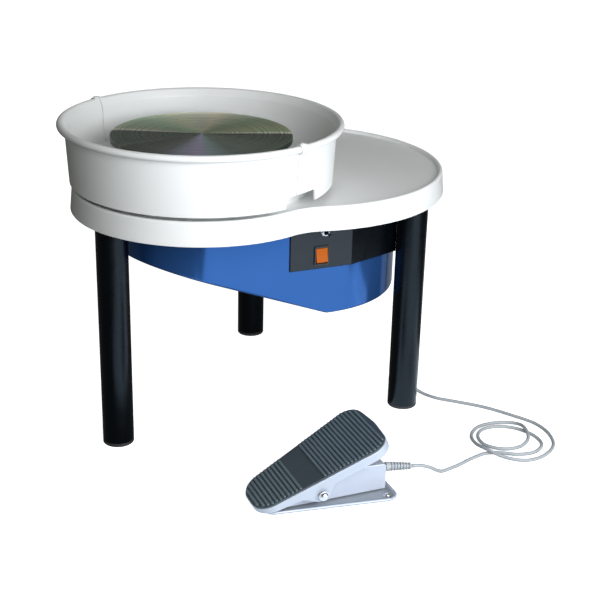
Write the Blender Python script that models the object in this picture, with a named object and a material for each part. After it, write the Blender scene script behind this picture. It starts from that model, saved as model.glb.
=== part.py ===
"""Electric pottery wheel with a split splash pan, three tube legs and a foot pedal.

Metres, +Z up.  The machine is laid out from its wheel axis: +X runs along the long side of the
table towards its wide end, and the pedal stands on the -Y side.  The whole model is then shifted
so that the origin lies under the middle of everything but the cord.
"""
import math

import bmesh
import bpy
from mathutils import Matrix, Vector

# ---------------------------------------------------------------- driving dimensions
WHEEL_AXIS = Vector((-0.1166, 0.0847, 0.0))   # the wheel axis, in the finished model
GAP = 0.0003                                  # between two pieces that touch

WHEELHEAD_RADIUS = 0.150
WHEELHEAD_TOP = 0.5066
WHEELHEAD_THICKNESS = 0.010
HUB_BOTTOM = 0.4700                           # the socket under the wheelhead
HUB_RADIUS = 0.0240
SET_SCREW_HEIGHT = 0.4810
SPINDLE_RADIUS = 0.0098
SPINDLE_BORE = 0.0101                         # in everything that is pressed on the spindle

TABLE_TOP = 0.4243
TABLE_WORK_SURFACE = 0.4180
TABLE_UNDERSIDE = 0.4120
TABLE_SKIRT_BOTTOM = 0.3847
TABLE_ROUND_RADIUS = 0.2180                   # the round end, about the wheel axis
TABLE_WIDE_RADIUS = 0.2685                    # the wide end, on its axes
TABLE_WIDE_SWELL = 0.0025                     # its extra radius half-way between them
TABLE_WIDE_CENTRE = 0.1990
TABLE_NECK_RADIUS = 0.090
TABLE_LIP = 0.0115                            # from the skirt's foot to the lip's inner side
TABLE_SKIRT_WALL = 0.0058
PLATFORM_RADIUS = 0.1745                      # the raised round that carries the pan's floor
PLATFORM_WALL = 0.0050
PLATFORM_ROOF = 0.4495                        # the top of the hollow inside the platform

PAN_TOP = 0.532
PAN_BOTTOM = 0.4310
PAN_RIM_RADIUS = 0.2344
PAN_RIM_BEAD = 0.0055                         # the rolled rim's own radius
PAN_FOOT_RADIUS = 0.2175                      # the wall's outer side at its foot
PAN_SHOULDER_RADIUS = 0.2220                  # and just under the rim
PAN_FLOOR = 0.4550
PAN_WALL = 0.0030
PAN_HOLE_RADIUS = 0.0400
PAN_COLLAR = 0.0105                           # height of the collar round the hole
NOTCH_HEIGHT = 0.0195                         # of the opening at each foot of the seam
SEAM_DIRECTION = math.radians(98.5)           # the seam's line, seen from above
SEAM_OFFSET = -0.018                          # from the wheel axis, towards the round end
SEAM_GAP = 0.0006
CLIP_HALF_ANGLE = math.radians(1.9)

LEG_DIAMETER = 0.0522
LEG_WALL = 0.0025
FOOT_THICKNESS = 0.0060                       # of a foot cap below its leg
LEG_SPOTS = {"left": (-0.1834, 0.0), "right": (0.2907, -0.2131), "rear": (0.2907, 0.2131)}
CHASSIS_TOP = 0.4040
CHASSIS_UNDERSIDE = 0.4005

PANEL_LEAN = math.radians(19.0)               # how far the sloping sides turn from the X axis
PANEL_DISTANCE = 0.1269                       # from the wheel axis to the panel's outer face
PANEL_THICKNESS = 0.0025
PANEL_BOTTOM = 0.2930
PANEL_START = 0.1085                          # its first edge, along the panel
ROCKER_SPOT = (0.1648, 0.3160)                # along the panel and above the floor
TOGGLE_SPOT = (0.1690, 0.3580)
BRACKET_FACE = 0.1920                         # the straight bracket's outer face, from the X axis
BRACKET_END = 0.2748
BELLY_WALL = 0.0022
BELLY_FLOOR = 0.2082
BELLY_NOSE_CENTRE = -0.020
BELLY_NOSE_RISE = 0.1336                      # of its floor, from the flat part to X = -0.20
INLET_PLACE = Vector((0.2150, 0.1920, 0.3450))

MOTOR_AXIS = 0.185
DRIVEN_RADIUS = 0.085
DRIVING_RADIUS = 0.022
PULLEY_BOTTOM = 0.345
PULLEY_TOP = 0.365

PEDAL_PLACE = Vector((-0.0487, -0.3466, 0.0))
PEDAL_TURN = math.radians(-19.7)
TREADLE_TILT = math.radians(25.4)
TREADLE_PIVOT = (-0.012, 0.033)               # along the pedal and above the floor
TREADLE_PAD_TOP = 0.0277                      # above the pivot, square to the treadle
PAD_THICKNESS = 0.0045
BASE_THICKNESS = 0.0050
HOUSING_HALF_WIDTH = 0.0300
RELIEF_PLACE = (0.1103, -0.0210, 0.0400)      # the strain relief's root, on the pedal
RELIEF_TURN = (0.0, math.radians(95), math.radians(-9))

CORD_RADIUS = 0.003
CORD_STEP = 0.0215                            # between the points of its tube
GLAND_PLACE = Vector((0.3330, -0.1680, 0.0))

# ---------------------------------------------------------------- scene and materials
for leftover in list(bpy.data.objects):
    bpy.data.objects.remove(leftover, do_unlink=True)


def material(name, colour, roughness, metallic=0.0):
    """A Principled material with one colour."""
    made = bpy.data.materials.new(name)
    made.use_nodes = True
    shader = made.node_tree.nodes["Principled BSDF"]
    shader.inputs["Base Color"].default_value = (*colour, 1.0)
    shader.inputs["Roughness"].default_value = roughness
    shader.inputs["Metallic"].default_value = metallic
    return made


WHITE_PLASTIC = material("white_plastic", (0.86, 0.87, 0.86), 0.35)
SPUN_ALUMINIUM = material("spun_aluminium", (0.62, 0.64, 0.62), 0.25, 1.0)
BLACK_STEEL = material("black_steel", (0.012, 0.016, 0.022), 0.35)
BLUE_STEEL = material("blue_steel", (0.045, 0.16, 0.50), 0.40)
SLATE_STEEL = material("slate_steel", (0.05, 0.06, 0.07), 0.45)
BRIGHT_STEEL = material("bright_steel", (0.70, 0.70, 0.72), 0.25, 1.0)
CAST_SILVER = material("cast_silver", (0.50, 0.53, 0.57), 0.40, 0.7)
BLACK_RUBBER = material("black_rubber", (0.03, 0.035, 0.04), 0.75)
PAD_RUBBER = material("pad_rubber", (0.045, 0.07, 0.085), 0.60)
BLACK_PLASTIC = material("black_plastic", (0.02, 0.02, 0.022), 0.45)
ORANGE_PLASTIC = material("orange_plastic", (0.85, 0.22, 0.02), 0.35)
GREEN_BOARD = material("green_board", (0.02, 0.18, 0.07), 0.55)
GREY_CABLE = material("grey_cable", (0.45, 0.47, 0.49), 0.50)


def empty(name, parent=None, location=(0, 0, 0), rotation=(0, 0, 0)):
    """A parent to hang pieces on."""
    made = bpy.data.objects.new(name, None)
    bpy.context.collection.objects.link(made)
    made.parent = parent
    made.location = location
    made.rotation_euler = rotation
    return made


MACHINE = empty("machine_frame", location=WHEEL_AXIS)


# ---------------------------------------------------------------- shape helpers
def add_object(name, bm, look, parent=MACHINE, location=(0, 0, 0), rotation=(0, 0, 0)):
    """Turn a bmesh into an object with its faces pointing out."""
    bmesh.ops.recalc_face_normals(bm, faces=bm.faces)
    mesh = bpy.data.meshes.new(name)
    bm.to_mesh(mesh)
    bm.free()
    made = bpy.data.objects.new(name, mesh)
    bpy.context.collection.objects.link(made)
    made.parent = parent
    made.location = location
    made.rotation_euler = rotation
    if look:
        mesh.materials.append(look)
        mesh.shade_smooth()
        mesh.set_sharp_from_angle(angle=math.radians(32))
    return made


def loft_mesh(rings, closed=False):
    """Skin rings of equal length; open lofts get flat caps."""
    bm = bmesh.new()
    layers = [[bm.verts.new(point) for point in ring] for ring in rings]
    count = len(layers[0])
    pairs = list(zip(layers, layers[1:]))
    if closed:
        pairs.append((layers[-1], layers[0]))
    for low, high in pairs:
        for index in range(count):
            following = (index + 1) % count
            bm.faces.new((low[index], low[following], high[following], high[index]))
    if not closed:
        bm.faces.new(layers[0])
        bm.faces.new(layers[-1])
    return bm


def prism(name, outline, low, high, look, parent=MACHINE, location=(0, 0, 0), rotation=(0, 0, 0)):
    """An outline in X and Y, extruded along Z."""
    rings = [[(x, y, z) for x, y in outline] for z in (low, high)]
    return add_object(name, loft_mesh(rings), look, parent, location, rotation)


def side_prism(name, outline, half_width, look, parent=MACHINE, location=(0, 0, 0),
               rotation=(0, 0, 0)):
    """An outline in X and Z, extruded along Y to both sides."""
    rings = [[(x, y, z) for x, z in outline] for y in (-half_width, half_width)]
    return add_object(name, loft_mesh(rings), look, parent, location, rotation)


def lathe(name, profile, look, sides=32, parent=MACHINE, location=(0, 0, 0), rotation=(0, 0, 0)):
    """Turn a closed (radius, z) profile about Z; two points on the axis close it as a solid."""
    bm = bmesh.new()
    columns = []
    for radius, z in profile:
        if radius == 0.0:
            columns.append([bm.verts.new((0.0, 0.0, z))])
            continue
        turn = 2 * math.pi / sides
        columns.append([bm.verts.new((radius * math.cos(k * turn), radius * math.sin(k * turn), z))
                        for k in range(sides)])
    for first, second in zip(columns, columns[1:] + columns[:1]):
        for k in range(sides):
            corners = [first[k % len(first)], first[(k + 1) % sides % len(first)],
                       second[(k + 1) % sides % len(second)], second[k % len(second)]]
            unique = list(dict.fromkeys(corners))
            if len(unique) > 2:
                bm.faces.new(unique)
    return add_object(name, bm, look, parent, location, rotation)


def rod(name, radius, low, high, look, sides=24, **place):
    """A plain round bar along Z."""
    return lathe(name, [(0.0, low), (radius, low), (radius, high), (0.0, high)], look, sides, **place)


def tube(name, outer, inner, low, high, look, sides=32, **place):
    """A plain round tube along Z."""
    return lathe(name, [(inner, low), (outer, low), (outer, high), (inner, high)], look, sides, **place)


def box(name, size, look, parent=MACHINE, location=(0, 0, 0), rotation=(0, 0, 0)):
    """A block centred on its own origin."""
    bm = bmesh.new()
    bmesh.ops.create_cube(bm, size=1.0, matrix=Matrix.Diagonal((*size, 1.0)))
    return add_object(name, bm, look, parent, location, rotation)


def as_guide(thing):
    """Mark a helper that only shapes other pieces."""
    thing.hide_render = True
    thing.display_type = "WIRE"
    return thing


def boolean(target, helper, operation="DIFFERENCE"):
    """Cut, join or intersect a piece with a helper."""
    as_guide(helper)
    modifier = target.modifiers.new(helper.name, "BOOLEAN")
    modifier.object = helper
    modifier.operation = operation
    modifier.solver = "EXACT"
    return target


def bevel(thing, width, segments=2, angle=40.0):
    """Round a piece's sharp edges."""
    modifier = thing.modifiers.new("rounding", "BEVEL")
    modifier.width = width
    modifier.segments = segments
    modifier.limit_method = "ANGLE"
    modifier.angle_limit = math.radians(angle)
    return thing


def arc(centre, radius, start, end, steps):
    """Points along an arc, both ends included, angles in radians."""
    return [(centre[0] + radius * math.cos(start + (end - start) * k / steps),
             centre[1] + radius * math.sin(start + (end - start) * k / steps))
            for k in range(steps + 1)]


def rounded_polygon(corners, steps=5):
    """Round the corners of an outline; each corner is (x, y, radius)."""
    points = []
    for index, (x, y, radius) in enumerate(corners):
        corner = Vector((x, y))
        before = Vector(corners[index - 1][:2])
        after = Vector(corners[(index + 1) % len(corners)][:2])
        if radius == 0.0:
            points.append((x, y))
            continue
        back = (before - corner).normalized()
        forth = (after - corner).normalized()
        half = back.angle(forth) / 2
        reach = radius / math.tan(half)
        centre = corner + (back + forth).normalized() * (radius / math.sin(half))
        start = corner + back * reach - centre
        end = corner + forth * reach - centre
        sweep = start.angle_signed(end)
        for k in range(steps + 1):
            turned = Matrix.Rotation(-sweep * k / steps, 2) @ start
            points.append(tuple(centre + turned))
    return points


# ---------------------------------------------------------------- table
def table_outline(inset=0.0, sides=1.0):
    """The keyhole outline: a round end, a wide end and a hollow neck on each side between them."""
    round_radius = TABLE_ROUND_RADIUS - inset
    wide_radius = TABLE_WIDE_RADIUS - inset
    neck_radius = TABLE_NECK_RADIUS + inset
    to_round = TABLE_ROUND_RADIUS + TABLE_NECK_RADIUS
    to_wide = TABLE_WIDE_RADIUS + TABLE_NECK_RADIUS
    neck_x = (TABLE_WIDE_CENTRE ** 2 + to_round ** 2 - to_wide ** 2) / (2 * TABLE_WIDE_CENTRE)
    neck_y = math.sqrt(to_round ** 2 - neck_x ** 2)
    round_angle = math.atan2(neck_y, neck_x)
    wide_angle = math.atan2(neck_y, neck_x - TABLE_WIDE_CENTRE)
    wide_centre = (TABLE_WIDE_CENTRE, 0.0)
    upper_neck = arc((neck_x, neck_y), neck_radius, wide_angle - math.pi, round_angle - math.pi,
                     int(5 * sides))
    lower_neck = arc((neck_x, -neck_y), neck_radius, math.pi - round_angle, math.pi - wide_angle,
                     int(5 * sides))
    round_end = arc((0.0, 0.0), round_radius, round_angle, 2 * math.pi - round_angle, int(24 * sides))
    steps = int(30 * sides)
    wide_end = []
    for k in range(steps + 1):
        angle = wide_angle * (2 * k / steps - 1)
        radius = wide_radius + TABLE_WIDE_SWELL * math.sin(math.pi * angle / wide_angle) ** 2
        wide_end += arc(wide_centre, radius, angle, angle, 1)[:1]
    return upper_neck[:-1] + round_end + lower_neck[1:-1] + wide_end


def make_table():
    """Moulded top: drafted skirt, raised lip, sunken work surface and a platform for the pan."""
    profile = [(TABLE_SKIRT_BOTTOM, 0.0), (TABLE_TOP - 0.0050, 0.0032), (TABLE_TOP, 0.0068)]
    rings = [[(x, y, z) for x, y in table_outline(inset)] for z, inset in profile]
    table = add_object("table_top", loft_mesh(rings), WHITE_PLASTIC)
    sunken = prism("guide_sunken_surface", table_outline(TABLE_LIP), TABLE_WORK_SURFACE,
                   TABLE_TOP + 0.01, None)
    boolean(table, sunken)
    low = TABLE_UNDERSIDE + 0.001
    high = PAN_FLOOR - GAP
    platform = lathe("guide_platform", [(0.0, low), (PLATFORM_RADIUS + 0.001, low),
                                        (PLATFORM_RADIUS, high - 0.002), (PLATFORM_RADIUS - 0.002, high),
                                        (0.0, high)], None, sides=48)
    boolean(table, platform, "UNION")
    hollow = prism("guide_table_hollow", table_outline(TABLE_SKIRT_WALL), TABLE_SKIRT_BOTTOM - 0.01,
                   TABLE_UNDERSIDE, None)
    boolean(hollow, rod("guide_platform_hollow", PLATFORM_RADIUS - PLATFORM_WALL, 0.400, PLATFORM_ROOF,
                        None, sides=48), "UNION")
    boolean(hollow, tube("guide_hub_rib", 0.066, 0.058, CHASSIS_TOP + GAP, PLATFORM_ROOF + 0.001,
                         None, sides=24))
    bosses = ((-0.120, -0.155), (-0.120, 0.155), (0.300, -0.120), (0.300, 0.120))
    for number, (x, y) in enumerate(bosses):
        boss = rod(f"guide_boss_{number}", 0.009, CHASSIS_TOP + GAP, TABLE_UNDERSIDE + 0.001, None,
                   sides=10, location=(x, y, 0))
        boolean(hollow, boss)
    boolean(table, hollow)
    boolean(table, rod("guide_housing_hole", 0.036, 0.40, 0.46, None, sides=24))


# ---------------------------------------------------------------- splash pan
def pan_profile():
    """The pan's wall, rolled rim, floor and hub collar, as one closed (radius, z) outline."""
    rim_centre = (PAN_RIM_RADIUS - PAN_RIM_BEAD, PAN_TOP - PAN_RIM_BEAD)
    wall_top = PAN_TOP - 0.0125
    outer = [(PAN_FOOT_RADIUS - 0.0017, PAN_BOTTOM), (PAN_FOOT_RADIUS, PAN_BOTTOM + 0.0020),
             (PAN_SHOULDER_RADIUS, wall_top)]
    rim = arc(rim_centre, PAN_RIM_BEAD, math.radians(-115), math.radians(165), 7)
    floor_edge = 0.2090 - PAN_WALL
    collar_edge = PAN_HOLE_RADIUS + PAN_WALL
    inner = [(PAN_SHOULDER_RADIUS - PAN_WALL, wall_top - 0.002),
             (floor_edge + 0.0100, PAN_FLOOR + 0.0110), (floor_edge, PAN_FLOOR + PAN_WALL),
             (collar_edge + 0.0005, PAN_FLOOR + PAN_WALL), (collar_edge, PAN_FLOOR + PAN_COLLAR),
             (PAN_HOLE_RADIUS, PAN_FLOOR + PAN_COLLAR)]
    under = [(PAN_HOLE_RADIUS, PAN_FLOOR), (floor_edge + 0.0100, PAN_FLOOR),
             (PAN_FOOT_RADIUS - 0.0037, PAN_BOTTOM)]
    return outer + rim + inner + under


def make_pan():
    """Two halves cut along one straight seam, with an opening at the foot of the seam's two ends."""
    seam_frame = (0.0, 0.0, SEAM_DIRECTION - math.pi / 2)
    normal = Vector((math.cos(seam_frame[2]), math.sin(seam_frame[2]), 0.0))
    window = [(-0.0086, 0.0), (-0.0040, 0.0140), (0.0010, NOTCH_HEIGHT), (0.0600, NOTCH_HEIGHT),
              (0.0640, 0.0), (0.0640, -0.02), (-0.0086, -0.02)]
    notches = []
    for name, x, y in (("near", 0.0, -0.2100), ("far", -0.0617, 0.2100)):
        notches.append(side_prism(f"guide_notch_{name}", window, 0.030, None, location=(x, y, PAN_BOTTOM)))
    for name, side in (("splash_pan_round_half", -1), ("splash_pan_table_half", 1)):
        half = lathe(name, pan_profile(), WHITE_PLASTIC, sides=48)
        edge = SEAM_OFFSET + side * SEAM_GAP / 2
        keep = box(f"guide_{name}", (0.6, 0.7, 0.3), None,
                   location=normal * (edge + side * 0.3) + Vector((0, 0, 0.48)), rotation=seam_frame)
        boolean(half, keep, "INTERSECT")
        for notch in notches:
            boolean(half, notch)


def make_rim_clip(name, centre_angle):
    """A moulded saddle over the rolled rim that keeps the two halves together."""
    rim_centre = (PAN_RIM_RADIUS - PAN_RIM_BEAD, PAN_TOP - PAN_RIM_BEAD)
    outside = arc(rim_centre, PAN_RIM_BEAD + 0.0027, math.radians(-75), math.radians(140), 8)
    inside = arc(rim_centre, PAN_RIM_BEAD + 0.0012, math.radians(140), math.radians(-75), 8)
    profile = outside + inside
    rings = []
    for k in range(3):
        angle = centre_angle + (k - 1) * CLIP_HALF_ANGLE
        rings.append([(radius * math.cos(angle), radius * math.sin(angle), z) for radius, z in profile])
    add_object(name, loft_mesh(rings), WHITE_PLASTIC)


# ---------------------------------------------------------------- wheelhead and spindle
def make_wheel_train():
    """Everything that turns with the wheelhead."""
    underside = WHEELHEAD_TOP - WHEELHEAD_THICKNESS
    spindle_top = 0.4985
    wheelhead = lathe("wheelhead", [
        (0.0, WHEELHEAD_TOP), (0.0, spindle_top + GAP), (SPINDLE_BORE, spindle_top + GAP),
        (SPINDLE_BORE, HUB_BOTTOM), (HUB_RADIUS, HUB_BOTTOM), (HUB_RADIUS + 0.002, underside),
        (WHEELHEAD_RADIUS, underside), (WHEELHEAD_RADIUS, WHEELHEAD_TOP - 0.0015),
        (WHEELHEAD_RADIUS - 0.0015, WHEELHEAD_TOP)], SPUN_ALUMINIUM, sides=48)
    screw_place = {"location": (0, 0, SET_SCREW_HEIGHT), "rotation": (0, math.radians(90), 0)}
    boolean(wheelhead, rod("guide_set_screw_hole", 0.0043, 0.005, 0.040, None, sides=16, **screw_place))
    rod("hub_set_screw", 0.0040, SPINDLE_BORE + 0.0004, 0.0225, BRIGHT_STEEL, sides=12, **screw_place)
    lathe("spindle", [(0.0, 0.3290), (0.0070, 0.3290), (0.0070, 0.3430), (SPINDLE_RADIUS, 0.3430),
                      (SPINDLE_RADIUS, 0.4495), (0.0140, 0.4495), (0.0140, 0.4530),
                      (SPINDLE_RADIUS, 0.4530), (SPINDLE_RADIUS, spindle_top), (0.0, spindle_top)],
          BRIGHT_STEEL, sides=24)
    lathe("splash_slinger", [(SPINDLE_BORE, 0.4560), (0.0340, 0.4560), (0.0340, 0.4590),
                             (0.0150, 0.4660), (SPINDLE_BORE, 0.4660)], BLACK_RUBBER, sides=20)
    web_low = PULLEY_BOTTOM + 0.007
    web_high = PULLEY_BOTTOM + 0.013
    crown = DRIVEN_RADIUS - 0.006
    lathe("driven_pulley", [(SPINDLE_BORE, PULLEY_BOTTOM), (0.0220, web_low), (crown - 0.001, web_low),
                            (crown, PULLEY_BOTTOM), (DRIVEN_RADIUS, PULLEY_BOTTOM),
                            (DRIVEN_RADIUS, PULLEY_TOP), (crown, PULLEY_TOP),
                            (crown - 0.001, web_high), (0.0220, web_high),
                            (0.0200, PULLEY_TOP + 0.004), (SPINDLE_BORE, PULLEY_TOP + 0.004)],
          SPUN_ALUMINIUM, sides=28)
    tube("spindle_nut", 0.0130, 0.0084, 0.3340, 0.3427, BRIGHT_STEEL, sides=6)


def make_bearings():
    """A flanged housing with a ball bearing pressed in at each end."""
    housing = [(0.0170, 0.3890), (0.0213, 0.3890), (0.0213, 0.3730), (0.0300, 0.3730),
               (0.0300, 0.3880), (0.0460, 0.3940), (0.0460, CHASSIS_UNDERSIDE - GAP),
               (0.0300, CHASSIS_UNDERSIDE - GAP), (0.0300, 0.4490), (0.0213, 0.4490),
               (0.0213, 0.4350), (0.0170, 0.4350)]
    lathe("bearing_housing", housing, CAST_SILVER, sides=20)
    for name, low in (("lower_bearing", 0.3765), ("upper_bearing", 0.4355)):
        tube(f"{name}_outer_race", 0.0208, 0.0174, low, low + 0.012, BRIGHT_STEEL, sides=20)
        tube(f"{name}_inner_race", 0.0136, 0.0102, low, low + 0.012, BRIGHT_STEEL, sides=20)


# ---------------------------------------------------------------- drive
def make_drive():
    """The motor on its hanging bracket, its pulley and the belt."""
    place = (MOTOR_AXIS, 0, 0)
    lathe("motor_can", [(0.0120, 0.3300), (0.0120, 0.3270), (0.0420, 0.3270), (0.0460, 0.3230),
                        (0.0460, 0.2350), (0.0500, 0.2350), (0.0500, 0.3250), (0.0450, 0.3300)],
          BLACK_STEEL, sides=24, location=place)
    lathe("motor_end_cap", [(0.0, 0.2250), (0.0470, 0.2250), (0.0500, 0.2280), (0.0500, 0.2347),
                            (0.0, 0.2347)], CAST_SILVER, sides=24, location=place)
    lathe("motor_armature", [(0.0, 0.2380), (0.0060, 0.2380), (0.0060, 0.2500), (0.0340, 0.2500),
                             (0.0340, 0.3100), (0.0060, 0.3100), (0.0060, 0.3680), (0.0, 0.3680)],
          BRIGHT_STEEL, sides=16, location=place)
    lathe("motor_pulley", [(0.0063, PULLEY_BOTTOM - 0.002), (0.0250, PULLEY_BOTTOM - 0.002),
                           (0.0250, PULLEY_BOTTOM), (DRIVING_RADIUS, PULLEY_BOTTOM + 0.0005),
                           (DRIVING_RADIUS, PULLEY_TOP), (0.0063, PULLEY_TOP)],
          SPUN_ALUMINIUM, sides=20, location=place)
    rings = []
    for z, thickness in ((0.348, 0.0), (0.362, 0.0), (0.362, 0.0035), (0.348, 0.0035)):
        rings.append([(x, y, z) for x, y in belt_outline(0.0006 + thickness)])
    add_object("drive_belt", loft_mesh(rings, closed=True), BLACK_RUBBER)
    top = CHASSIS_UNDERSIDE - GAP
    hanger = [(-0.075, top), (-0.055, top), (-0.055, 0.3340), (0.0560, 0.3340), (0.0560, top),
              (0.0760, top), (0.0760, top - 0.003), (0.0590, top - 0.003), (0.0590, 0.3310),
              (-0.058, 0.3310), (-0.058, top - 0.003), (-0.075, top - 0.003)]
    rings = [[(x, y, z) for y, z in hanger] for x in (MOTOR_AXIS - 0.035, MOTOR_AXIS + 0.035)]
    bracket = add_object("motor_bracket", loft_mesh(rings), BLACK_STEEL)
    boolean(bracket, rod("guide_bracket_hole", 0.0120, 0.32, 0.34, None, sides=24, location=place))


def belt_outline(offset):
    """Two pulley arcs joined by tangents."""
    large = DRIVEN_RADIUS + offset
    small = DRIVING_RADIUS + offset
    contact = math.acos((large - small) / MOTOR_AXIS)
    around_large = arc((0, 0), large, contact, 2 * math.pi - contact, 30)
    around_small = arc((MOTOR_AXIS, 0), small, -contact, contact, 14)
    return around_large + around_small


# ---------------------------------------------------------------- frame and legs
def make_frame():
    """The chassis plate under the table and the three legs that plug into it."""
    plate = prism("chassis_plate", table_outline(0.0095, sides=0.5), CHASSIS_UNDERSIDE, CHASSIS_TOP,
                  BLACK_STEEL)
    boolean(plate, rod("guide_plate_hole", 0.0303, 0.39, 0.42, None, sides=32))
    radius = LEG_DIAMETER / 2
    fit_radius = radius - LEG_WALL - GAP
    top = CHASSIS_UNDERSIDE - GAP
    for name, (x, y) in LEG_SPOTS.items():
        place = (x, y, 0)
        boolean(plate, rod(f"guide_bolt_hole_{name}", 0.0053, 0.39, 0.42, None, sides=12, location=place))
        tube(f"leg_{name}", radius, radius - LEG_WALL, FOOT_THICKNESS + GAP, top, BLACK_STEEL, sides=24,
             location=place)
        tube(f"leg_socket_{name}", fit_radius, 0.0053, 0.3500, top, BRIGHT_STEEL, sides=16, location=place)
        lathe(f"leg_bolt_{name}", [(0.0, 0.3560), (0.0050, 0.3560), (0.0050, CHASSIS_TOP + GAP),
                                   (0.0085, CHASSIS_TOP + GAP), (0.0085, 0.4095), (0.0, 0.4095)],
              BRIGHT_STEEL, sides=6, location=place)
        lathe(f"foot_cap_{name}", [(0.0, 0.0), (radius - 0.0020, 0.0), (radius, 0.0030),
                                   (radius, FOOT_THICKNESS), (fit_radius, FOOT_THICKNESS),
                                   (fit_radius, 0.0350), (0.0, 0.0350)],
              BLACK_RUBBER, sides=24, location=place)


# ---------------------------------------------------------------- body below the table
def body_outline(distance):
    """Plan of the belly pan: a round nose, two spreading sides and a round end under the table's."""
    lean = PANEL_LEAN
    nose_radius = distance + BELLY_NOSE_CENTRE * math.sin(lean)
    nose = arc((BELLY_NOSE_CENTRE, 0), nose_radius, math.pi, 1.5 * math.pi - lean, 14)
    end_radius = distance + TABLE_WIDE_CENTRE * math.sin(lean)
    end = arc((TABLE_WIDE_CENTRE, 0), end_radius, -math.pi / 2 - lean, 0, 20)
    lower = nose + end
    return lower + [(x, -y) for x, y in reversed(lower[1:-1])]


def make_belly_pan():
    """The blue sheet-steel pan: its floor slopes up under the nose and is flat at the wide end."""
    side = [(-0.20, BELLY_FLOOR + BELLY_NOSE_RISE), (0.130, BELLY_FLOOR), (0.45, BELLY_FLOOR),
            (0.45, CHASSIS_UNDERSIDE - GAP), (-0.20, CHASSIS_UNDERSIDE - GAP)]
    distance = PANEL_DISTANCE - PANEL_THICKNESS - GAP
    outside = prism("belly_pan", body_outline(distance), 0.15, 0.45, BLUE_STEEL)
    boolean(outside, side_prism("guide_belly_side", side, 0.25, None), "INTERSECT")
    inside = prism("guide_belly_hollow", body_outline(distance - BELLY_WALL), 0.15, 0.45, None)
    inner_floor = BELLY_FLOOR + BELLY_WALL
    inner_side = [(-0.20, inner_floor + BELLY_NOSE_RISE), (0.130, inner_floor), (0.45, inner_floor),
                  (0.45, 0.44), (-0.20, 0.44)]
    boolean(inside, side_prism("guide_belly_inner_side", inner_side, 0.24, None), "INTERSECT")
    boolean(outside, inside)


def bracket_outline():
    """Plan of the bent control panel: a leaning face and a straight one that reaches the leg."""
    lean = PANEL_LEAN
    along = Vector((math.cos(lean), -math.sin(lean)))
    out = Vector((-math.sin(lean), -math.cos(lean)))
    points = []
    for inset in (0.0, PANEL_THICKNESS):
        distance = PANEL_DISTANCE - inset
        straight = BRACKET_FACE - inset
        start = out * distance + along * PANEL_START
        reach = (straight - distance * math.cos(lean)) / math.sin(lean)
        bend = out * distance + along * reach
        run = [tuple(start), tuple(bend), (BRACKET_END, -straight)]
        points += run if inset == 0.0 else run[::-1]
    return points


def panel_point(along, height, outward=0.0):
    """A place on the panel's outer face, measured along it from below the wheel axis."""
    out = Vector((-math.sin(PANEL_LEAN), -math.cos(PANEL_LEAN), 0.0))
    direction = Vector((math.cos(PANEL_LEAN), -math.sin(PANEL_LEAN), 0.0))
    return out * (PANEL_DISTANCE + outward) + direction * along + Vector((0, 0, height))


def make_control_panel():
    """The near bracket with its power rocker and direction toggle, and the far bracket."""
    top = CHASSIS_UNDERSIDE - GAP
    panel = prism("control_panel", bracket_outline(), PANEL_BOTTOM, top, SLATE_STEEL)
    mirrored = [(x, -y) for x, y in bracket_outline()][::-1]
    far = prism("rear_bracket", mirrored, PANEL_BOTTOM, top, BLACK_STEEL)
    belly = bpy.data.objects["belly_pan"]

    turn = (0, 0, -PANEL_LEAN)
    window = box("guide_rocker_window", (0.0246, 0.020, 0.0306), None,
                 location=panel_point(*ROCKER_SPOT), rotation=turn)
    boolean(panel, window)
    boolean(belly, window)
    bezel = box("rocker_bezel", (0.0270, 0.0026, 0.0330), BLACK_PLASTIC,
                location=panel_point(*ROCKER_SPOT, 0.0016), rotation=turn)
    boolean(bezel, box("guide_bezel_body", (0.0240, 0.0180, 0.0300), None,
                       location=panel_point(*ROCKER_SPOT, -0.0075), rotation=turn), "UNION")
    boolean(bezel, box("guide_bezel_hollow", (0.0218, 0.0160, 0.0278), None,
                       location=panel_point(*ROCKER_SPOT, -0.0050), rotation=turn))
    paddle = [(-0.0128, -0.0020), (-0.0110, 0.0058), (0.0, 0.0030), (0.0128, 0.0018), (0.0120, -0.0070),
              (0.0, -0.0100), (-0.0120, -0.0070)]
    rings = [[(x, -depth, z) for z, depth in paddle] for x in (-0.0103, 0.0103)]
    add_object("power_rocker", loft_mesh(rings), ORANGE_PLASTIC,
               location=panel_point(*ROCKER_SPOT), rotation=turn)

    toggle = panel_point(*TOGGLE_SPOT)
    facing = (math.radians(90), 0, -PANEL_LEAN)
    hole = rod("guide_toggle_hole", 0.0063, -0.02, 0.02, None, sides=16, location=toggle, rotation=facing)
    boolean(panel, hole)
    boolean(belly, hole)
    lathe("toggle_bushing", [(0.0044, -0.0120), (0.0060, -0.0120), (0.0060, GAP), (0.0078, GAP),
                             (0.0078, 0.0028), (0.0060, 0.0032), (0.0060, 0.0080), (0.0044, 0.0080)],
          BRIGHT_STEEL, sides=12, location=toggle, rotation=facing)
    lathe("direction_toggle", [(0.0, -0.0090), (0.0020, -0.0090), (0.0014, 0.0060), (0.0020, 0.0200),
                               (0.0028, 0.0250), (0.0016, 0.0275), (0.0, 0.0275)],
          BLACK_PLASTIC, sides=8, location=toggle, rotation=facing)

    socket_hole = box("guide_inlet_window", (0.0480, 0.030, 0.0280), None, location=INLET_PLACE)
    boolean(far, socket_hole)
    boolean(belly, socket_hole)
    inlet = box("power_inlet", (0.0560, 0.0030, 0.0360), BLACK_PLASTIC,
                location=INLET_PLACE + Vector((0, 0.0015 + GAP, 0)))
    boolean(inlet, box("guide_inlet_body", (0.0470, 0.0260, 0.0270), None,
                       location=INLET_PLACE + Vector((0, -0.0120, 0))), "UNION")
    boolean(inlet, box("guide_inlet_mouth", (0.0250, 0.0300, 0.0190), None,
                       location=INLET_PLACE + Vector((-0.005, -0.0050, 0))))


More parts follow.
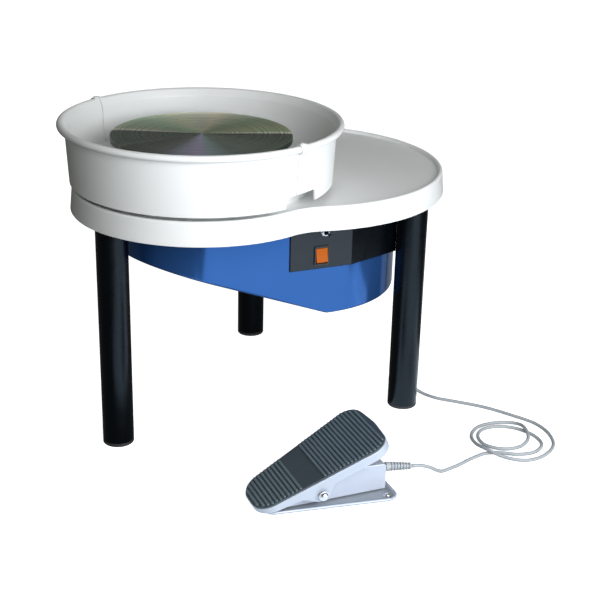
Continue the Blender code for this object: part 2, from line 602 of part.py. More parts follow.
def make_electronics():
    """The speed controller under the chassis plate."""
    side_prism("heatsink", heatsink_outline(), 0.040, SPUN_ALUMINIUM,
               location=(0.0900, -0.1050, CHASSIS_UNDERSIDE - GAP))
    box("control_board", (0.0900, 0.0700, 0.0016), GREEN_BOARD, location=(0.0900, -0.1050, 0.3820))
    rod("filter_capacitor", 0.0110, 0.3420, 0.3809, BLUE_STEEL, sides=20, location=(0.1150, -0.1100, 0))


def heatsink_outline():
    """A flat back with five fins hanging from it."""
    points = [(-0.030, 0.0), (-0.030, -0.0030)]
    for k in range(5):
        x = -0.026 + 0.013 * k
        points += [(x - 0.0015, -0.0030), (x - 0.0015, -0.0170)]
        points += [(x + 0.0015, -0.0170), (x + 0.0015, -0.0030)]
    return points + [(0.030, -0.0030), (0.030, 0.0)]


# ---------------------------------------------------------------- foot pedal
PEDAL = empty("pedal_frame", MACHINE, PEDAL_PLACE, (0, 0, PEDAL_TURN))
TREADLE = empty("treadle_frame", PEDAL, (TREADLE_PIVOT[0], 0, TREADLE_PIVOT[1]), (0, -TREADLE_TILT, 0))


def pedal_outline(heel, toe, heel_half, toe_half, heel_round, toe_round, inset=0.0, bulge=0.0):
    """A tapered outline, narrow at the heel, with rounded corners."""
    corners = [(heel + inset, heel_half - inset, heel_round),
               (heel + inset, -heel_half + inset, heel_round),
               (toe - inset, -toe_half + inset, toe_round)]
    if bulge:
        corners.append((toe - inset + bulge, 0.0, 0.10))
    corners.append((toe - inset, toe_half - inset, toe_round))
    return rounded_polygon(corners)


def treadle_outline(inset=0.0):
    """The treadle's outline, along the treadle from its pivot."""
    return pedal_outline(-0.0995, 0.1275, 0.0415, 0.0715, 0.026, 0.026, inset, bulge=0.006)


def make_pedal():
    """Base plate, housing, speed potentiometer and the tilting treadle with its rubber pad."""
    base = prism("pedal_base", pedal_outline(-0.0970, 0.1210, 0.0335, 0.0640, 0.020, 0.020),
                 0.0, BASE_THICKNESS, CAST_SILVER, PEDAL)
    bevel(base, 0.0012)
    on_base = BASE_THICKNESS + GAP
    profile = [(-0.060, on_base), (0.1085, on_base), (0.1085, 0.0470), (0.1060, 0.0500),
               (0.0700, 0.0520), (0.0, 0.0460), (-0.030, 0.0360), (-0.060, 0.0230)]
    housing = side_prism("pedal_housing", profile, HOUSING_HALF_WIDTH, CAST_SILVER, PEDAL)
    inner = [(-0.057, -0.01), (0.1060, -0.01), (0.1060, 0.0460), (0.0700, 0.0495), (0.0010, 0.0435),
             (-0.0290, 0.0335), (-0.057, 0.0210)]
    boolean(housing, side_prism("guide_housing_hollow", inner, HOUSING_HALF_WIDTH - 0.0025, None, PEDAL))
    across = (math.radians(90), 0, 0)
    pivot_place = (TREADLE_PIVOT[0], 0, TREADLE_PIVOT[1])
    bore = rod("guide_pivot_bore", 0.0034, -0.08, 0.08, None, sides=16, parent=PEDAL,
               location=pivot_place, rotation=across)
    boolean(housing, bore)
    relief_hole = rod("guide_relief_hole", 0.0054, -0.02, 0.01, None, sides=16, parent=PEDAL,
                      location=RELIEF_PLACE, rotation=RELIEF_TURN)
    boolean(housing, relief_hole)
    relief_profile = [(0.0034, -0.0120), (0.0048, -0.0120), (0.0048, 0.0000), (0.0075, 0.0000),
                      (0.0075, 0.0080), (0.0066, 0.0090), (0.0050, 0.0440), (0.0034, 0.0440)]
    lathe("pedal_strain_relief", relief_profile, GREY_CABLE, sides=12, parent=PEDAL,
          location=RELIEF_PLACE, rotation=RELIEF_TURN)
    for name, x, y in (("pedal_base_bolt_toe", 0.1030, -0.0480), ("pedal_base_bolt_heel", -0.0840, 0.0)):
        lathe(name, [(0.0, 0.0), (0.0048, 0.0), (0.0048, 0.0017), (0.0030, 0.0035), (0.0, 0.0035)],
              BRIGHT_STEEL, sides=12, parent=PEDAL, location=(x, y, on_base))
    rod("speed_potentiometer", 0.0110, -0.0090, 0.0090, BLACK_PLASTIC, sides=20, parent=PEDAL,
        location=(0.0450, 0.0, 0.0250), rotation=across)

    plate_top = TREADLE_PAD_TOP - PAD_THICKNESS - GAP
    treadle = prism("treadle", treadle_outline(), -0.020, plate_top, CAST_SILVER, TREADLE)
    flange = [(-0.1100, 0.0165), (-0.0900, 0.0150), (-0.0320, -0.0015), (-0.0080, -0.0110),
              (0.0060, -0.0105), (0.0140, -0.0060), (0.0300, 0.0060), (0.1500, 0.0085),
              (0.1500, 0.0300), (-0.1100, 0.0300)]
    boolean(treadle, side_prism("guide_flange_side", flange, 0.12, None, TREADLE), "INTERSECT")
    boolean(treadle, prism("guide_treadle_hollow", treadle_outline(0.0025), -0.05, plate_top - 0.0025, None,
                           TREADLE))
    boolean(treadle, bore)
    prism("treadle_pad", treadle_outline(0.0012), plate_top + GAP, TREADLE_PAD_TOP, PAD_RUBBER, TREADLE)
    lathe("pivot_bolt", [(0.0, -0.0640), (0.0030, -0.0640), (0.0030, 0.0600), (0.0078, 0.0600),
                         (0.0078, 0.0615), (0.0060, 0.0645), (0.0, 0.0655)], BRIGHT_STEEL, sides=20,
          parent=PEDAL, location=pivot_place, rotation=across)
    tube("pivot_nut", 0.0066, 0.0036, -0.0640, -0.0590, BRIGHT_STEEL, sides=6, parent=PEDAL,
         location=pivot_place, rotation=across)


# ---------------------------------------------------------------- pedal cord
CORD_ROUTE = [
    (0.0873, -0.4250, 0.0361), (0.1000, -0.4315, 0.0348), (0.1190, -0.4358, 0.0265),
    (0.1370, -0.4355, 0.0145), (0.1540, -0.4335, 0.0055), (0.1740, -0.4335, 0.0033),
    (0.1980, -0.4350, 0.0033),
    (0.2250, -0.4345, 0.0033), (0.2600, -0.4390, 0.0033), (0.2800, -0.4540, 0.0033),
    (0.2980, -0.4760, 0.0033), (0.3270, -0.4890, 0.0033), (0.3570, -0.4800, 0.0033),
    (0.3720, -0.4520, 0.0033), (0.3700, -0.4170, 0.0033), (0.3520, -0.3900, 0.0033),
    (0.3220, -0.3790, 0.0033), (0.2960, -0.3890, 0.0033), (0.2810, -0.4170, 0.0033),
    (0.2930, -0.4470, 0.0033), (0.3240, -0.4610, 0.0033), (0.3510, -0.4550, 0.0065),
    (0.3700, -0.4330, 0.0108), (0.3800, -0.4070, 0.0065), (0.3610, -0.3790, 0.0033),
    (0.3250, -0.3675, 0.0033), (0.2910, -0.3790, 0.0033), (0.2690, -0.4060, 0.0060),
    (0.2600, -0.4380, 0.0108), (0.2690, -0.4700, 0.0060), (0.2910, -0.4970, 0.0033),
    (0.3250, -0.5070, 0.0033), (0.3680, -0.4960, 0.0033), (0.3970, -0.4650, 0.0033),
    (0.4100, -0.4260, 0.0033), (0.4030, -0.3750, 0.0033), (0.3900, -0.3250, 0.0033),
    (0.3690, -0.2800, 0.0033), (0.3500, -0.2410, 0.0033), (0.3450, -0.2080, 0.0045),
    (0.3400, -0.1830, 0.0160), (0.3355, -0.1715, 0.0450), (0.3330, -0.1680, 0.1000),
    (0.3330, -0.1680, 0.2000), (0.3330, -0.1680, 0.3000), (0.3330, -0.1680, 0.3600)]


def smooth_route(points, spacing):
    """A centripetal Catmull-Rom curve through the points, read at even steps."""
    route = [Vector(p) for p in points]
    route = [2 * route[0] - route[1]] + route + [2 * route[-1] - route[-2]]
    fine = []
    for p0, p1, p2, p3 in zip(route, route[1:], route[2:], route[3:]):
        t1 = (p1 - p0).length ** 0.5
        t2 = t1 + (p2 - p1).length ** 0.5
        t3 = t2 + (p3 - p2).length ** 0.5
        for k in range(16):
            t = t1 + (t2 - t1) * k / 16
            a1 = p0 * (t1 - t) / t1 + p1 * t / t1
            a2 = p1 * (t2 - t) / (t2 - t1) + p2 * (t - t1) / (t2 - t1)
            a3 = p2 * (t3 - t) / (t3 - t2) + p3 * (t - t2) / (t3 - t2)
            b1 = a1 * (t2 - t) / t2 + a2 * t / t2
            b2 = a2 * (t3 - t) / (t3 - t1) + a3 * (t - t1) / (t3 - t1)
            fine.append(b1 * (t2 - t) / (t2 - t1) + b2 * (t - t1) / (t2 - t1))
    fine.append(route[-2])
    total = sum((b - a).length for a, b in zip(fine, fine[1:]))
    count = round(total / spacing)
    even = [fine[0]]
    walked = 0.0
    for a, b in zip(fine, fine[1:]):
        step = (b - a).length
        while len(even) < count and walked + step >= len(even) * total / count:
            even.append(a.lerp(b, (len(even) * total / count - walked) / step))
        walked += step
    even.append(fine[-1])
    return even


def make_cord():
    """The pedal's cord, from its strain relief to the gland under the chassis plate."""
    lathe("cord_gland", [(0.0034, 0.3640), (0.0058, 0.3640), (0.0075, 0.3800), (0.0095, 0.3820),
                         (0.0095, CHASSIS_UNDERSIDE - GAP), (0.0034, CHASSIS_UNDERSIDE - GAP)],
          BLACK_PLASTIC, sides=12, location=GLAND_PLACE)
    points = smooth_route(CORD_ROUTE, CORD_STEP)
    curve = bpy.data.curves.new("pedal_cord", "CURVE")
    curve.dimensions = "3D"
    curve.bevel_depth = CORD_RADIUS
    curve.bevel_resolution = 2
    curve.use_fill_caps = True
    curve.resolution_u = 1
    curve.render_resolution_u = 0
    spline = curve.splines.new("POLY")
    spline.points.add(len(points) - 1)
    for target, point in zip(spline.points, points):
        target.co = (*point, 1.0)
    curve.materials.append(GREY_CABLE)
    cord = bpy.data.objects.new("pedal_cord", curve)
    bpy.context.collection.objects.link(cord)
    cord.parent = MACHINE


make_table()
make_pan()
make_rim_clip("rim_clip_near", math.radians(-86.0))
make_rim_clip("rim_clip_far", math.radians(103.0))
make_wheel_train()
make_bearings()
make_drive()
make_frame()
make_belly_pan()
make_control_panel()
make_electronics()
make_pedal()
make_cord()
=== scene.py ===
"""Looks for the electric pottery wheel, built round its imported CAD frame.

Metres throughout.  Pieces are made in the machine's own frame, where the wheel axis is X = Y = 0,
and MACHINE carries them into the shared one.  The pedal has its own frame, +X from heel to toe.
"""
import math

import bmesh
import bpy
from mathutils import Matrix, Vector


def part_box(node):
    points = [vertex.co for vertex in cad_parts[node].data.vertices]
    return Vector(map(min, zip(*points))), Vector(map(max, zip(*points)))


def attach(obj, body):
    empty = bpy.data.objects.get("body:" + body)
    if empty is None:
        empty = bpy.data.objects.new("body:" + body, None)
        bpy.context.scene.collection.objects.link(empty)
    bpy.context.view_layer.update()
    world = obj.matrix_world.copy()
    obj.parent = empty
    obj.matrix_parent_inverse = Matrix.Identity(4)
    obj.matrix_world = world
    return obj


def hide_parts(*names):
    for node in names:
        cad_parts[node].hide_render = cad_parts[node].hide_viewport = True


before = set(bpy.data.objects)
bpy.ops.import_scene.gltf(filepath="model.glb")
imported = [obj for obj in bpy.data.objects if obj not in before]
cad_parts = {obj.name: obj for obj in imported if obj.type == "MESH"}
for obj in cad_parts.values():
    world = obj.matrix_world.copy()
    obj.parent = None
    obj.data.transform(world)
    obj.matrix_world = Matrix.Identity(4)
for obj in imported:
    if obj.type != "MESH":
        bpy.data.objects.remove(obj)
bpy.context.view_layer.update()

# ---------------------------------------------------------------- sizes shared with the CAD
WHEEL_LOW, WHEEL_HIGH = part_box("wheelhead")
AXIS = Vector(((WHEEL_LOW.x + WHEEL_HIGH.x) / 2, (WHEEL_LOW.y + WHEEL_HIGH.y) / 2, 0.0))
GAP = 0.0003                                   # between pieces that touch

WHEELHEAD_RADIUS = 0.150
WHEELHEAD_TOP = 0.5066
WHEELHEAD_UNDERSIDE = 0.4966
HUB_BOTTOM = 0.4700
HUB_RADIUS = 0.0240
SPINDLE_BORE = 0.0101

TABLE_WORK_SURFACE = 0.4180
TABLE_UNDERSIDE = 0.4120
TABLE_SKIRT_BOTTOM = 0.3847
TABLE_ROUND_RADIUS = 0.2180
TABLE_WIDE_RADIUS = 0.2685
TABLE_WIDE_SWELL = 0.0025
TABLE_WIDE_CENTRE = 0.1990
TABLE_NECK_RADIUS = 0.090
PLATFORM_TOP = 0.4547
PLATFORM_ROOF = 0.4495

PAN_BOTTOM = 0.4310
RIM_CENTRE = (0.2289, 0.5265)
RIM_BEAD = 0.0055
NOTCH_HEIGHT = 0.0195
SEAM_NORMAL = math.radians(8.5)
SEAM_OFFSET = -0.018
SEAM_GAP = 0.0012

LEG_RADIUS = 0.0261
LEG_WALL = 0.0025
LEG_SPOTS = {"left": (-0.1834, 0.0), "right": (0.2907, -0.2131), "rear": (0.2907, 0.2131)}
CHASSIS_UNDERSIDE = 0.4005

PANEL_LEAN = math.radians(19.0)
PANEL_DISTANCE = 0.1269
PANEL_THICKNESS = 0.0025
PANEL_BOTTOM = 0.2930
PANEL_START = 0.1085
LIT_FACE_MARGIN = 0.0008
ROCKER_SPOT = (0.1648, 0.3160)
ROCKER_WINDOW = (0.0246, 0.020, 0.0306)
TOGGLE_SPOT = (0.1690, 0.3580)
TOGGLE_HOLE_RADIUS = 0.0063
BRACKET_FACE = 0.1920
BRACKET_END = 0.2751
BELLY_WALL = 0.0022
BELLY_FLOOR = 0.2082
BELLY_NOSE_CENTRE = -0.020
BELLY_NOSE_RISE = 0.1336
INLET_PLACE = Vector((0.2150, 0.1920, 0.3450))
INLET_WINDOW = (0.0480, 0.030, 0.0280)

PEDAL_PLACE = Vector((-0.0487, -0.3466, 0.0))
PEDAL_TURN = math.radians(-19.7)
TREADLE_PIVOT = Vector((-0.012, 0.0, 0.033))
TREADLE_TILT = math.radians(25.4)
PIVOT_BORE = 0.0034
PAD_BOTTOM = 0.0232
PAD_TOP = 0.0277
BASE_THICKNESS = 0.0050
HOUSING_HALF_WIDTH = 0.0300
RELIEF_PLACE = Vector((0.1103, -0.0210, 0.0400))

CORD_RADIUS = 0.003
CORD_STEP = 0.004

MACHINE = Matrix.Translation(AXIS)
PEDAL = MACHINE @ Matrix.Translation(PEDAL_PLACE) @ Matrix.Rotation(PEDAL_TURN, 4, "Z")
TREADLE = PEDAL @ Matrix.Translation(TREADLE_PIVOT) @ Matrix.Rotation(-TREADLE_TILT, 4, "Y")
ACROSS = Matrix.Rotation(math.radians(90), 4, "X")
PIVOT = PEDAL @ Matrix.Translation(TREADLE_PIVOT) @ ACROSS
PANEL_OUT = Vector((-math.sin(PANEL_LEAN), -math.cos(PANEL_LEAN), 0.0))
PANEL_ALONG = Vector((math.cos(PANEL_LEAN), -math.sin(PANEL_LEAN), 0.0))


def at(place, within=MACHINE):
    """A place in the machine's frame, or in another one."""
    return within @ Matrix.Translation(place)


def add_object(name, data, place):
    """Put an object in the scene."""
    made = bpy.data.objects.new(name, data)
    bpy.context.scene.collection.objects.link(made)
    made.matrix_world = place
    return made


# ---------------------------------------------------------------- camera
heading, pitch, roll = (math.radians(angle) for angle in (42.8597, 22.0206, 1.3753))
forward = Vector((math.sin(heading) * math.cos(pitch), math.cos(heading) * math.cos(pitch),
                  -math.sin(pitch)))
aim = forward.to_track_quat("-Z", "Y").to_matrix().to_4x4() @ Matrix.Rotation(roll, 4, "Z")
camera = add_object("camera", bpy.data.cameras.new("camera"), at((-1.2498, -1.5941, 1.0315)) @ aim)
camera.data.sensor_width = 36.0
camera.data.lens = 75.514
bpy.context.scene.camera = camera
bpy.context.scene.view_settings.view_transform = "Standard"


# ---------------------------------------------------------------- materials
LOOKS = {}


def add_node(tree, kind, settings=(), **inputs):
    """Add a node; an input is named, or numbered as _0, and is linked to a socket or set to a value."""
    node = tree.nodes.new(kind)
    for key, value in dict(settings).items():
        setattr(node, key, value)
    for key, value in inputs.items():
        socket = node.inputs[int(key[1:])] if key[1:].isdigit() else node.inputs[key.replace("_", " ")]
        if isinstance(value, bpy.types.NodeSocket):
            tree.links.new(value, socket)
        else:
            socket.default_value = value
    return node


def new_look(name, colour, roughness, metallic=0.0, **settings):
    """Enter a Principled material in LOOKS; further settings go straight on its shader."""
    made = bpy.data.materials.new(name)
    LOOKS[name] = made
    made.use_nodes = True
    shader = made.node_tree.nodes["Principled BSDF"]
    shader.inputs["Base Color"].default_value = (*colour, 1.0)
    shader.inputs["Roughness"].default_value = roughness
    shader.inputs["Metallic"].default_value = metallic
    for key, value in settings.items():
        shader.inputs[key.replace("_", " ")].default_value = value
    return made


def place_of(tree, stretch=(1.0, 1.0, 1.0)):
    """The object's own coordinates, stretched."""
    place = add_node(tree, "ShaderNodeTexCoord").outputs["Object"]
    return add_node(tree, "ShaderNodeMapping", Vector=place, Scale=stretch).outputs["Vector"]


def noise(tree, scale, detail, stretch=(1.0, 1.0, 1.0)):
    """Noise between 0 and 1."""
    made = add_node(tree, "ShaderNodeTexNoise", Vector=place_of(tree, stretch), Scale=scale,
                    Detail=detail)
    return made.outputs["Fac"]


def spread(tree, value, low, high):
    """Bring the middle of a noise to the range from low to high."""
    made = add_node(tree, "ShaderNodeMapRange", Value=value, From_Min=0.3, From_Max=0.7, To_Min=low,
                    To_Max=high)
    return made.outputs["Result"]


def bump(tree, height, distance):
    """Send a height to the shader's normal."""
    made = add_node(tree, "ShaderNodeBump", Height=height, Distance=distance)
    tree.links.new(made.outputs["Normal"], tree.nodes["Principled BSDF"].inputs["Normal"])


def mottle(look, other, scale, roughness):
    """Drift a look's colour towards another one, and its roughness between two values."""
    tree = look.node_tree
    shader = tree.nodes["Principled BSDF"]
    drift = spread(tree, noise(tree, scale, 4.0), 0.0, 1.0)
    mixed = add_node(tree, "ShaderNodeMix", {"data_type": "RGBA"}, _0=drift,
                     _6=shader.inputs["Base Color"].default_value, _7=(*other, 1.0))
    tree.links.new(mixed.outputs[2], shader.inputs["Base Color"])
    wear = spread(tree, noise(tree, scale * 5, 4.0), *roughness)
    tree.links.new(wear, shader.inputs["Roughness"])


def moulded(name, colour, other, roughness, grain, depth, **settings):
    """Moulded plastic or rubber: slight mottling and a fine surface grain."""
    look = new_look(name, colour, roughness[0], **settings)
    mottle(look, other, 9.0, roughness)
    bump(look.node_tree, noise(look.node_tree, grain, 2.0), depth)
    return look


def brushed(name, colour, other, roughness, stretch, **settings):
    """Bright metal with a fine directional grain."""
    look = new_look(name, colour, roughness[0], 1.0, **settings)
    mottle(look, other, 60.0, roughness)
    bump(look.node_tree, noise(look.node_tree, 900.0, 2.0, stretch), 0.00002)
    return look


def shade_grooves(look, low, high, least):
    """Darken a look towards the bottom of its grooves: painted shade between the ribs."""
    tree = look.node_tree
    shader = tree.nodes["Principled BSDF"]
    height = add_node(tree, "ShaderNodeSeparateXYZ", Vector=place_of(tree)).outputs["Z"]
    share = add_node(tree, "ShaderNodeMapRange", Value=height, From_Min=low, From_Max=high, To_Min=least,
                     To_Max=1.0)
    shaded = add_node(tree, "ShaderNodeVectorMath", {"operation": "SCALE"},
                      _0=shader.inputs["Base Color"].links[0].from_socket, _3=share.outputs["Result"])
    tree.links.new(shaded.outputs[0], shader.inputs["Base Color"])
    return look


def spun_metal():
    """Turned aluminium: rings about the axis, a radial sheen and painted reflection round the turn: darker
    and lighter wedges and thin painted highlights in its colour.
    """
    look = new_look("spun_aluminium", (0.40, 0.43, 0.40), 0.30, 1.0, Anisotropic=0.85)
    tree = look.node_tree
    shader = tree.nodes["Principled BSDF"]
    tangent = add_node(tree, "ShaderNodeTangent", {"direction_type": "RADIAL", "axis": "Z"})
    tree.links.new(tangent.outputs["Tangent"], shader.inputs["Tangent"])
    axes = add_node(tree, "ShaderNodeSeparateXYZ", Vector=place_of(tree))
    angle = add_node(tree, "ShaderNodeMath", {"operation": "ARCTAN2"}, _0=axes.outputs["Y"],
                     _1=axes.outputs["X"])
    turn = add_node(tree, "ShaderNodeMapRange", Value=angle.outputs[0], From_Min=-math.pi,
                    From_Max=math.pi)
    ramp = add_node(tree, "ShaderNodeValToRGB", Fac=turn.outputs["Result"])
    # Painted reflection: the colour round the turn holds darker and lighter wedges and two thin painted
    # highlights, where a turned disc mirrors its surroundings.
    painted_dark_wedge, painted_glint = (0.10, 0.12, 0.10), (0.95, 0.95, 0.82)
    painted_reflection = ((0.000, painted_dark_wedge), (0.070, (0.15, 0.17, 0.16)), (0.100, (0.34, 0.37, 0.50)),
             (0.135, (0.56, 0.46, 0.74)), (0.165, (0.34, 0.46, 0.50)), (0.210, (0.18, 0.23, 0.19)),
             (0.300, (0.22, 0.27, 0.21)), (0.390, painted_dark_wedge), (0.399, painted_glint), (0.412, (0.38, 0.47, 0.26)),
             (0.470, (0.36, 0.40, 0.24)), (0.520, (0.26, 0.36, 0.21)), (0.570, (0.36, 0.40, 0.26)),
             (0.610, (0.60, 0.54, 0.36)), (0.645, (0.52, 0.53, 0.39)), (0.700, (0.62, 0.64, 0.42)),
             (0.780, (0.42, 0.60, 0.42)), (0.852, (0.50, 0.56, 0.40)), (0.866, painted_glint), (0.876, painted_dark_wedge),
             (0.970, painted_dark_wedge), (0.978, (0.20, 0.22, 0.19)), (0.986, painted_dark_wedge))
    for number, (position, tint) in enumerate(painted_reflection):
        stop = ramp.color_ramp.elements[0] if number == 0 else ramp.color_ramp.elements.new(position)
        stop.position = position
        stop.color = (*tint, 1.0)
    ramp.color_ramp.elements.remove(ramp.color_ramp.elements[-1])
    flat = add_node(tree, "ShaderNodeCombineXYZ", X=axes.outputs["X"], Y=axes.outputs["Y"])
    radius = add_node(tree, "ShaderNodeVectorMath", {"operation": "LENGTH"}, _0=flat.outputs[0])
    fine, coarse = (add_node(tree, "ShaderNodeTexNoise", {"noise_dimensions": "1D"},
                             W=radius.outputs["Value"], Scale=scale, Detail=detail).outputs["Fac"]
                    for scale, detail in ((900.0, 3.0), (260.0, 2.0)))
    streaked = add_node(tree, "ShaderNodeVectorMath", {"operation": "SCALE"}, _0=ramp.outputs["Color"],
                        _3=spread(tree, coarse, 0.72, 1.30))
    tree.links.new(streaked.outputs[0], shader.inputs["Base Color"])
    bump(tree, fine, 0.00006)
    tree.links.new(spread(tree, fine, 0.24, 0.38), shader.inputs["Roughness"])
    return look


moulded("white_plastic", (0.84, 0.85, 0.84), (0.80, 0.815, 0.80), (0.30, 0.42), 700.0, 0.00005)
spun_metal()
moulded("black_steel", (0.0007, 0.0010, 0.0020), (0.0005, 0.0008, 0.0016), (0.25, 0.31), 1100.0,
        0.00003, Specular_IOR_Level=0.34, Specular_Tint=(0.70, 0.86, 1.0, 1.0))
moulded("blue_steel", (0.032, 0.114, 0.350), (0.029, 0.106, 0.330), (0.12, 0.16), 1100.0, 0.00001,
        Metallic=0.58, Specular_IOR_Level=0.20)
# A lighter copy of the black paint: painted light on the panel's leaning face, which faces the light.
moulded("slate_steel", (0.0090, 0.0098, 0.0125), (0.0078, 0.0085, 0.0108), (0.26, 0.32), 1100.0,
        0.00003, Specular_Tint=(0.80, 0.90, 1.0, 1.0))
brushed("bright_steel", (0.70, 0.70, 0.72), (0.60, 0.60, 0.62), (0.20, 0.34), (1.0, 1.0, 0.08))
moulded("cast_silver", (0.540, 0.585, 0.680), (0.500, 0.545, 0.635), (0.38, 0.50), 900.0, 0.00008,
        Metallic=0.30)
# A darker copy of the cast paint: painted shade for the tray's floor under the treadle.
moulded("cast_silver_shaded", (0.320, 0.350, 0.385), (0.285, 0.312, 0.345), (0.42, 0.54), 900.0, 0.00008,
        Metallic=0.30)
moulded("black_rubber", (0.030, 0.033, 0.037), (0.022, 0.024, 0.027), (0.66, 0.82), 600.0, 0.00010)
# The pad's colour darkens towards the bottom of its grooves: painted shade between the ribs.
shade_grooves(moulded("pad_rubber", (0.138, 0.186, 0.216), (0.112, 0.152, 0.178), (0.46, 0.60), 800.0,
                0.00008), PAD_TOP - 0.0019, PAD_TOP - 0.0005, 0.42)
moulded("black_plastic", (0.018, 0.018, 0.020), (0.012, 0.012, 0.014), (0.34, 0.46), 900.0, 0.00004)
moulded("orange_plastic", (0.46, 0.100, 0.004), (0.40, 0.084, 0.003), (0.42, 0.52), 900.0, 0.00002,
        Specular_IOR_Level=0.12)
moulded("green_board", (0.015, 0.15, 0.055), (0.010, 0.11, 0.040), (0.35, 0.50), 300.0, 0.00010)
moulded("grey_cable", (0.40, 0.43, 0.45), (0.36, 0.39, 0.41), (0.42, 0.54), 900.0, 0.00004)


# ---------------------------------------------------------------- shape helpers
def make(name, bm, place=MACHINE):
    """Turn a bmesh into an object with its faces pointing out."""
    bmesh.ops.recalc_face_normals(bm, faces=bm.faces)
    mesh = bpy.data.meshes.new(name)
    bm.to_mesh(mesh)
    bm.free()
    return add_object(name, mesh, place)


def dress(thing, slot, body, *nodes, sharp=35.0, look=None):
    """Finish a piece: its look, by default its slot's, its shading, its body and the nodes it stands for."""
    thing.data.materials.clear()
    thing.data.materials.append(LOOKS[look or slot])
    if thing.type == "MESH":
        thing.data.shade_smooth()
        thing.data.set_sharp_from_angle(angle=math.radians(sharp))
        thing.modifiers.new("flat faces", "WEIGHTED_NORMAL").keep_sharp = True
    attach(thing, body)
    if nodes:
        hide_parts(*nodes)
    return thing


def bake(thing):
    """Apply a piece's modifiers."""
    bpy.context.view_layer.update()
    mesh = bpy.data.meshes.new_from_object(thing.evaluated_get(bpy.context.evaluated_depsgraph_get()))
    thing.modifiers.clear()
    thing.data = mesh
    return thing


def carve(thing, *cutters, operation="DIFFERENCE"):
    """Cut a piece with others, or keep what it shares with them."""
    for cutter in cutters:
        modifier = thing.modifiers.new("cut", "BOOLEAN")
        modifier.object = cutter
        modifier.operation = operation
        modifier.solver = "EXACT"
        bake(thing)
        if not thing.data.polygons:
            raise RuntimeError(f"{thing.name} was cut away by {cutter.name}")
        bpy.data.objects.remove(cutter)
    return thing


def bevel(thing, width, segments, angle):
    """Give a piece a modifier that rounds its sharp edges."""
    modifier = thing.modifiers.new("rounding", "BEVEL")
    modifier.width = width
    modifier.segments = segments
    modifier.limit_method = "ANGLE"
    modifier.angle_limit = math.radians(angle)


def soften(thing, width, segments, angle):
    """Round a piece's sharp edges."""
    bevel(thing, width, segments, angle)
    return bake(thing)


def arc(centre, radius, start, end, steps):
    """Points along an arc, both ends included, angles in radians."""
    return [(centre[0] + radius * math.cos(start + (end - start) * k / steps),
             centre[1] + radius * math.sin(start + (end - start) * k / steps))
            for k in range(steps + 1)]


def rounded(corners, steps=6):
    """Round the corners of a closed outline; each corner is (x, y, radius)."""
    points = []
    for index, (x, y, radius) in enumerate(corners):
        if radius == 0.0:
            points.append((x, y))
            continue
        corner = Vector((x, y))
        back = (Vector(corners[index - 1][:2]) - corner).normalized()
        forth = (Vector(corners[(index + 1) % len(corners)][:2]) - corner).normalized()
        half = back.angle(forth) / 2
        reach = radius / math.tan(half)
        centre = corner + (back + forth).normalized() * (radius / math.sin(half))
        start = corner + back * reach - centre
        sweep = start.angle_signed(corner + forth * reach - centre)
        points += [tuple(centre + Matrix.Rotation(-sweep * k / steps, 2) @ start)
                   for k in range(steps + 1)]
    return points


def rounded_box(half_x, half_y, radius, steps=6, middle=0.0):
    """A rectangle with rounded corners, its middle on the X axis."""
    corners = [(-half_x, -half_y), (half_x, -half_y), (half_x, half_y), (-half_x, half_y)]
    return rounded([(middle + x, y, radius) for x, y in corners], steps)


def loft(rings, closed=False):
    """Skin rings of equal length; open lofts get flat caps."""
    bm = bmesh.new()
    layers = [[bm.verts.new(point) for point in ring] for ring in rings]
    count = len(layers[0])
    for low, high in zip(layers, layers[1:] + layers[:1] * closed):
        for index in range(count):
            following = (index + 1) % count
            bm.faces.new((low[index], low[following], high[following], high[index]))
    if not closed:
        bm.faces.new(layers[0])
        bm.faces.new(layers[-1])
    return bm


def stacked(outline, steps):
    """Rings of an outline that is drawn in as it rises; each step is (inset, z)."""
    return [[(x, y, z) for x, y in outline(inset)] for inset, z in steps]


def prism(outline, low, high):
    """An outline in X and Y, extruded along Z."""
    return loft([[(x, y, z) for x, y in outline] for z in (low, high)])


def side_prism(outline, half_width):
    """An outline in X and Z, extruded along Y to both sides."""
    return loft([[(x, y, z) for x, z in outline] for y in (-half_width, half_width)])


def lathe(profile, sides=96):
    """Turn a closed (radius, z) profile about Z; points on the axis become poles."""
    bm = bmesh.new()
    turn = 2 * math.pi / sides
    columns = []
    for radius, z in profile:
        count = sides if radius else 1
        columns.append([bm.verts.new((radius * math.cos(k * turn), radius * math.sin(k * turn), z))
                        for k in range(count)])
    for first, second in zip(columns, columns[1:] + columns[:1]):
        for k in range(sides):
            corners = [first[k % len(first)], first[(k + 1) % sides % len(first)],
                       second[(k + 1) % sides % len(second)], second[k % len(second)]]
            unique = list(dict.fromkeys(corners))
            if len(unique) > 2:
                bm.faces.new(unique)
    return bm


def block(size, centre=(0.0, 0.0, 0.0)):
    """A block for cutting with."""
    bm = bmesh.new()
    bmesh.ops.create_cube(bm, size=1.0, matrix=Matrix.Translation(centre) @ Matrix.Diagonal((*size, 1.0)))
    return bm


def rod(radius, low, high, sides=48):
    """A plain round bar for cutting with."""
    return lathe([(0.0, low), (radius, low), (radius, high), (0.0, high)], sides)


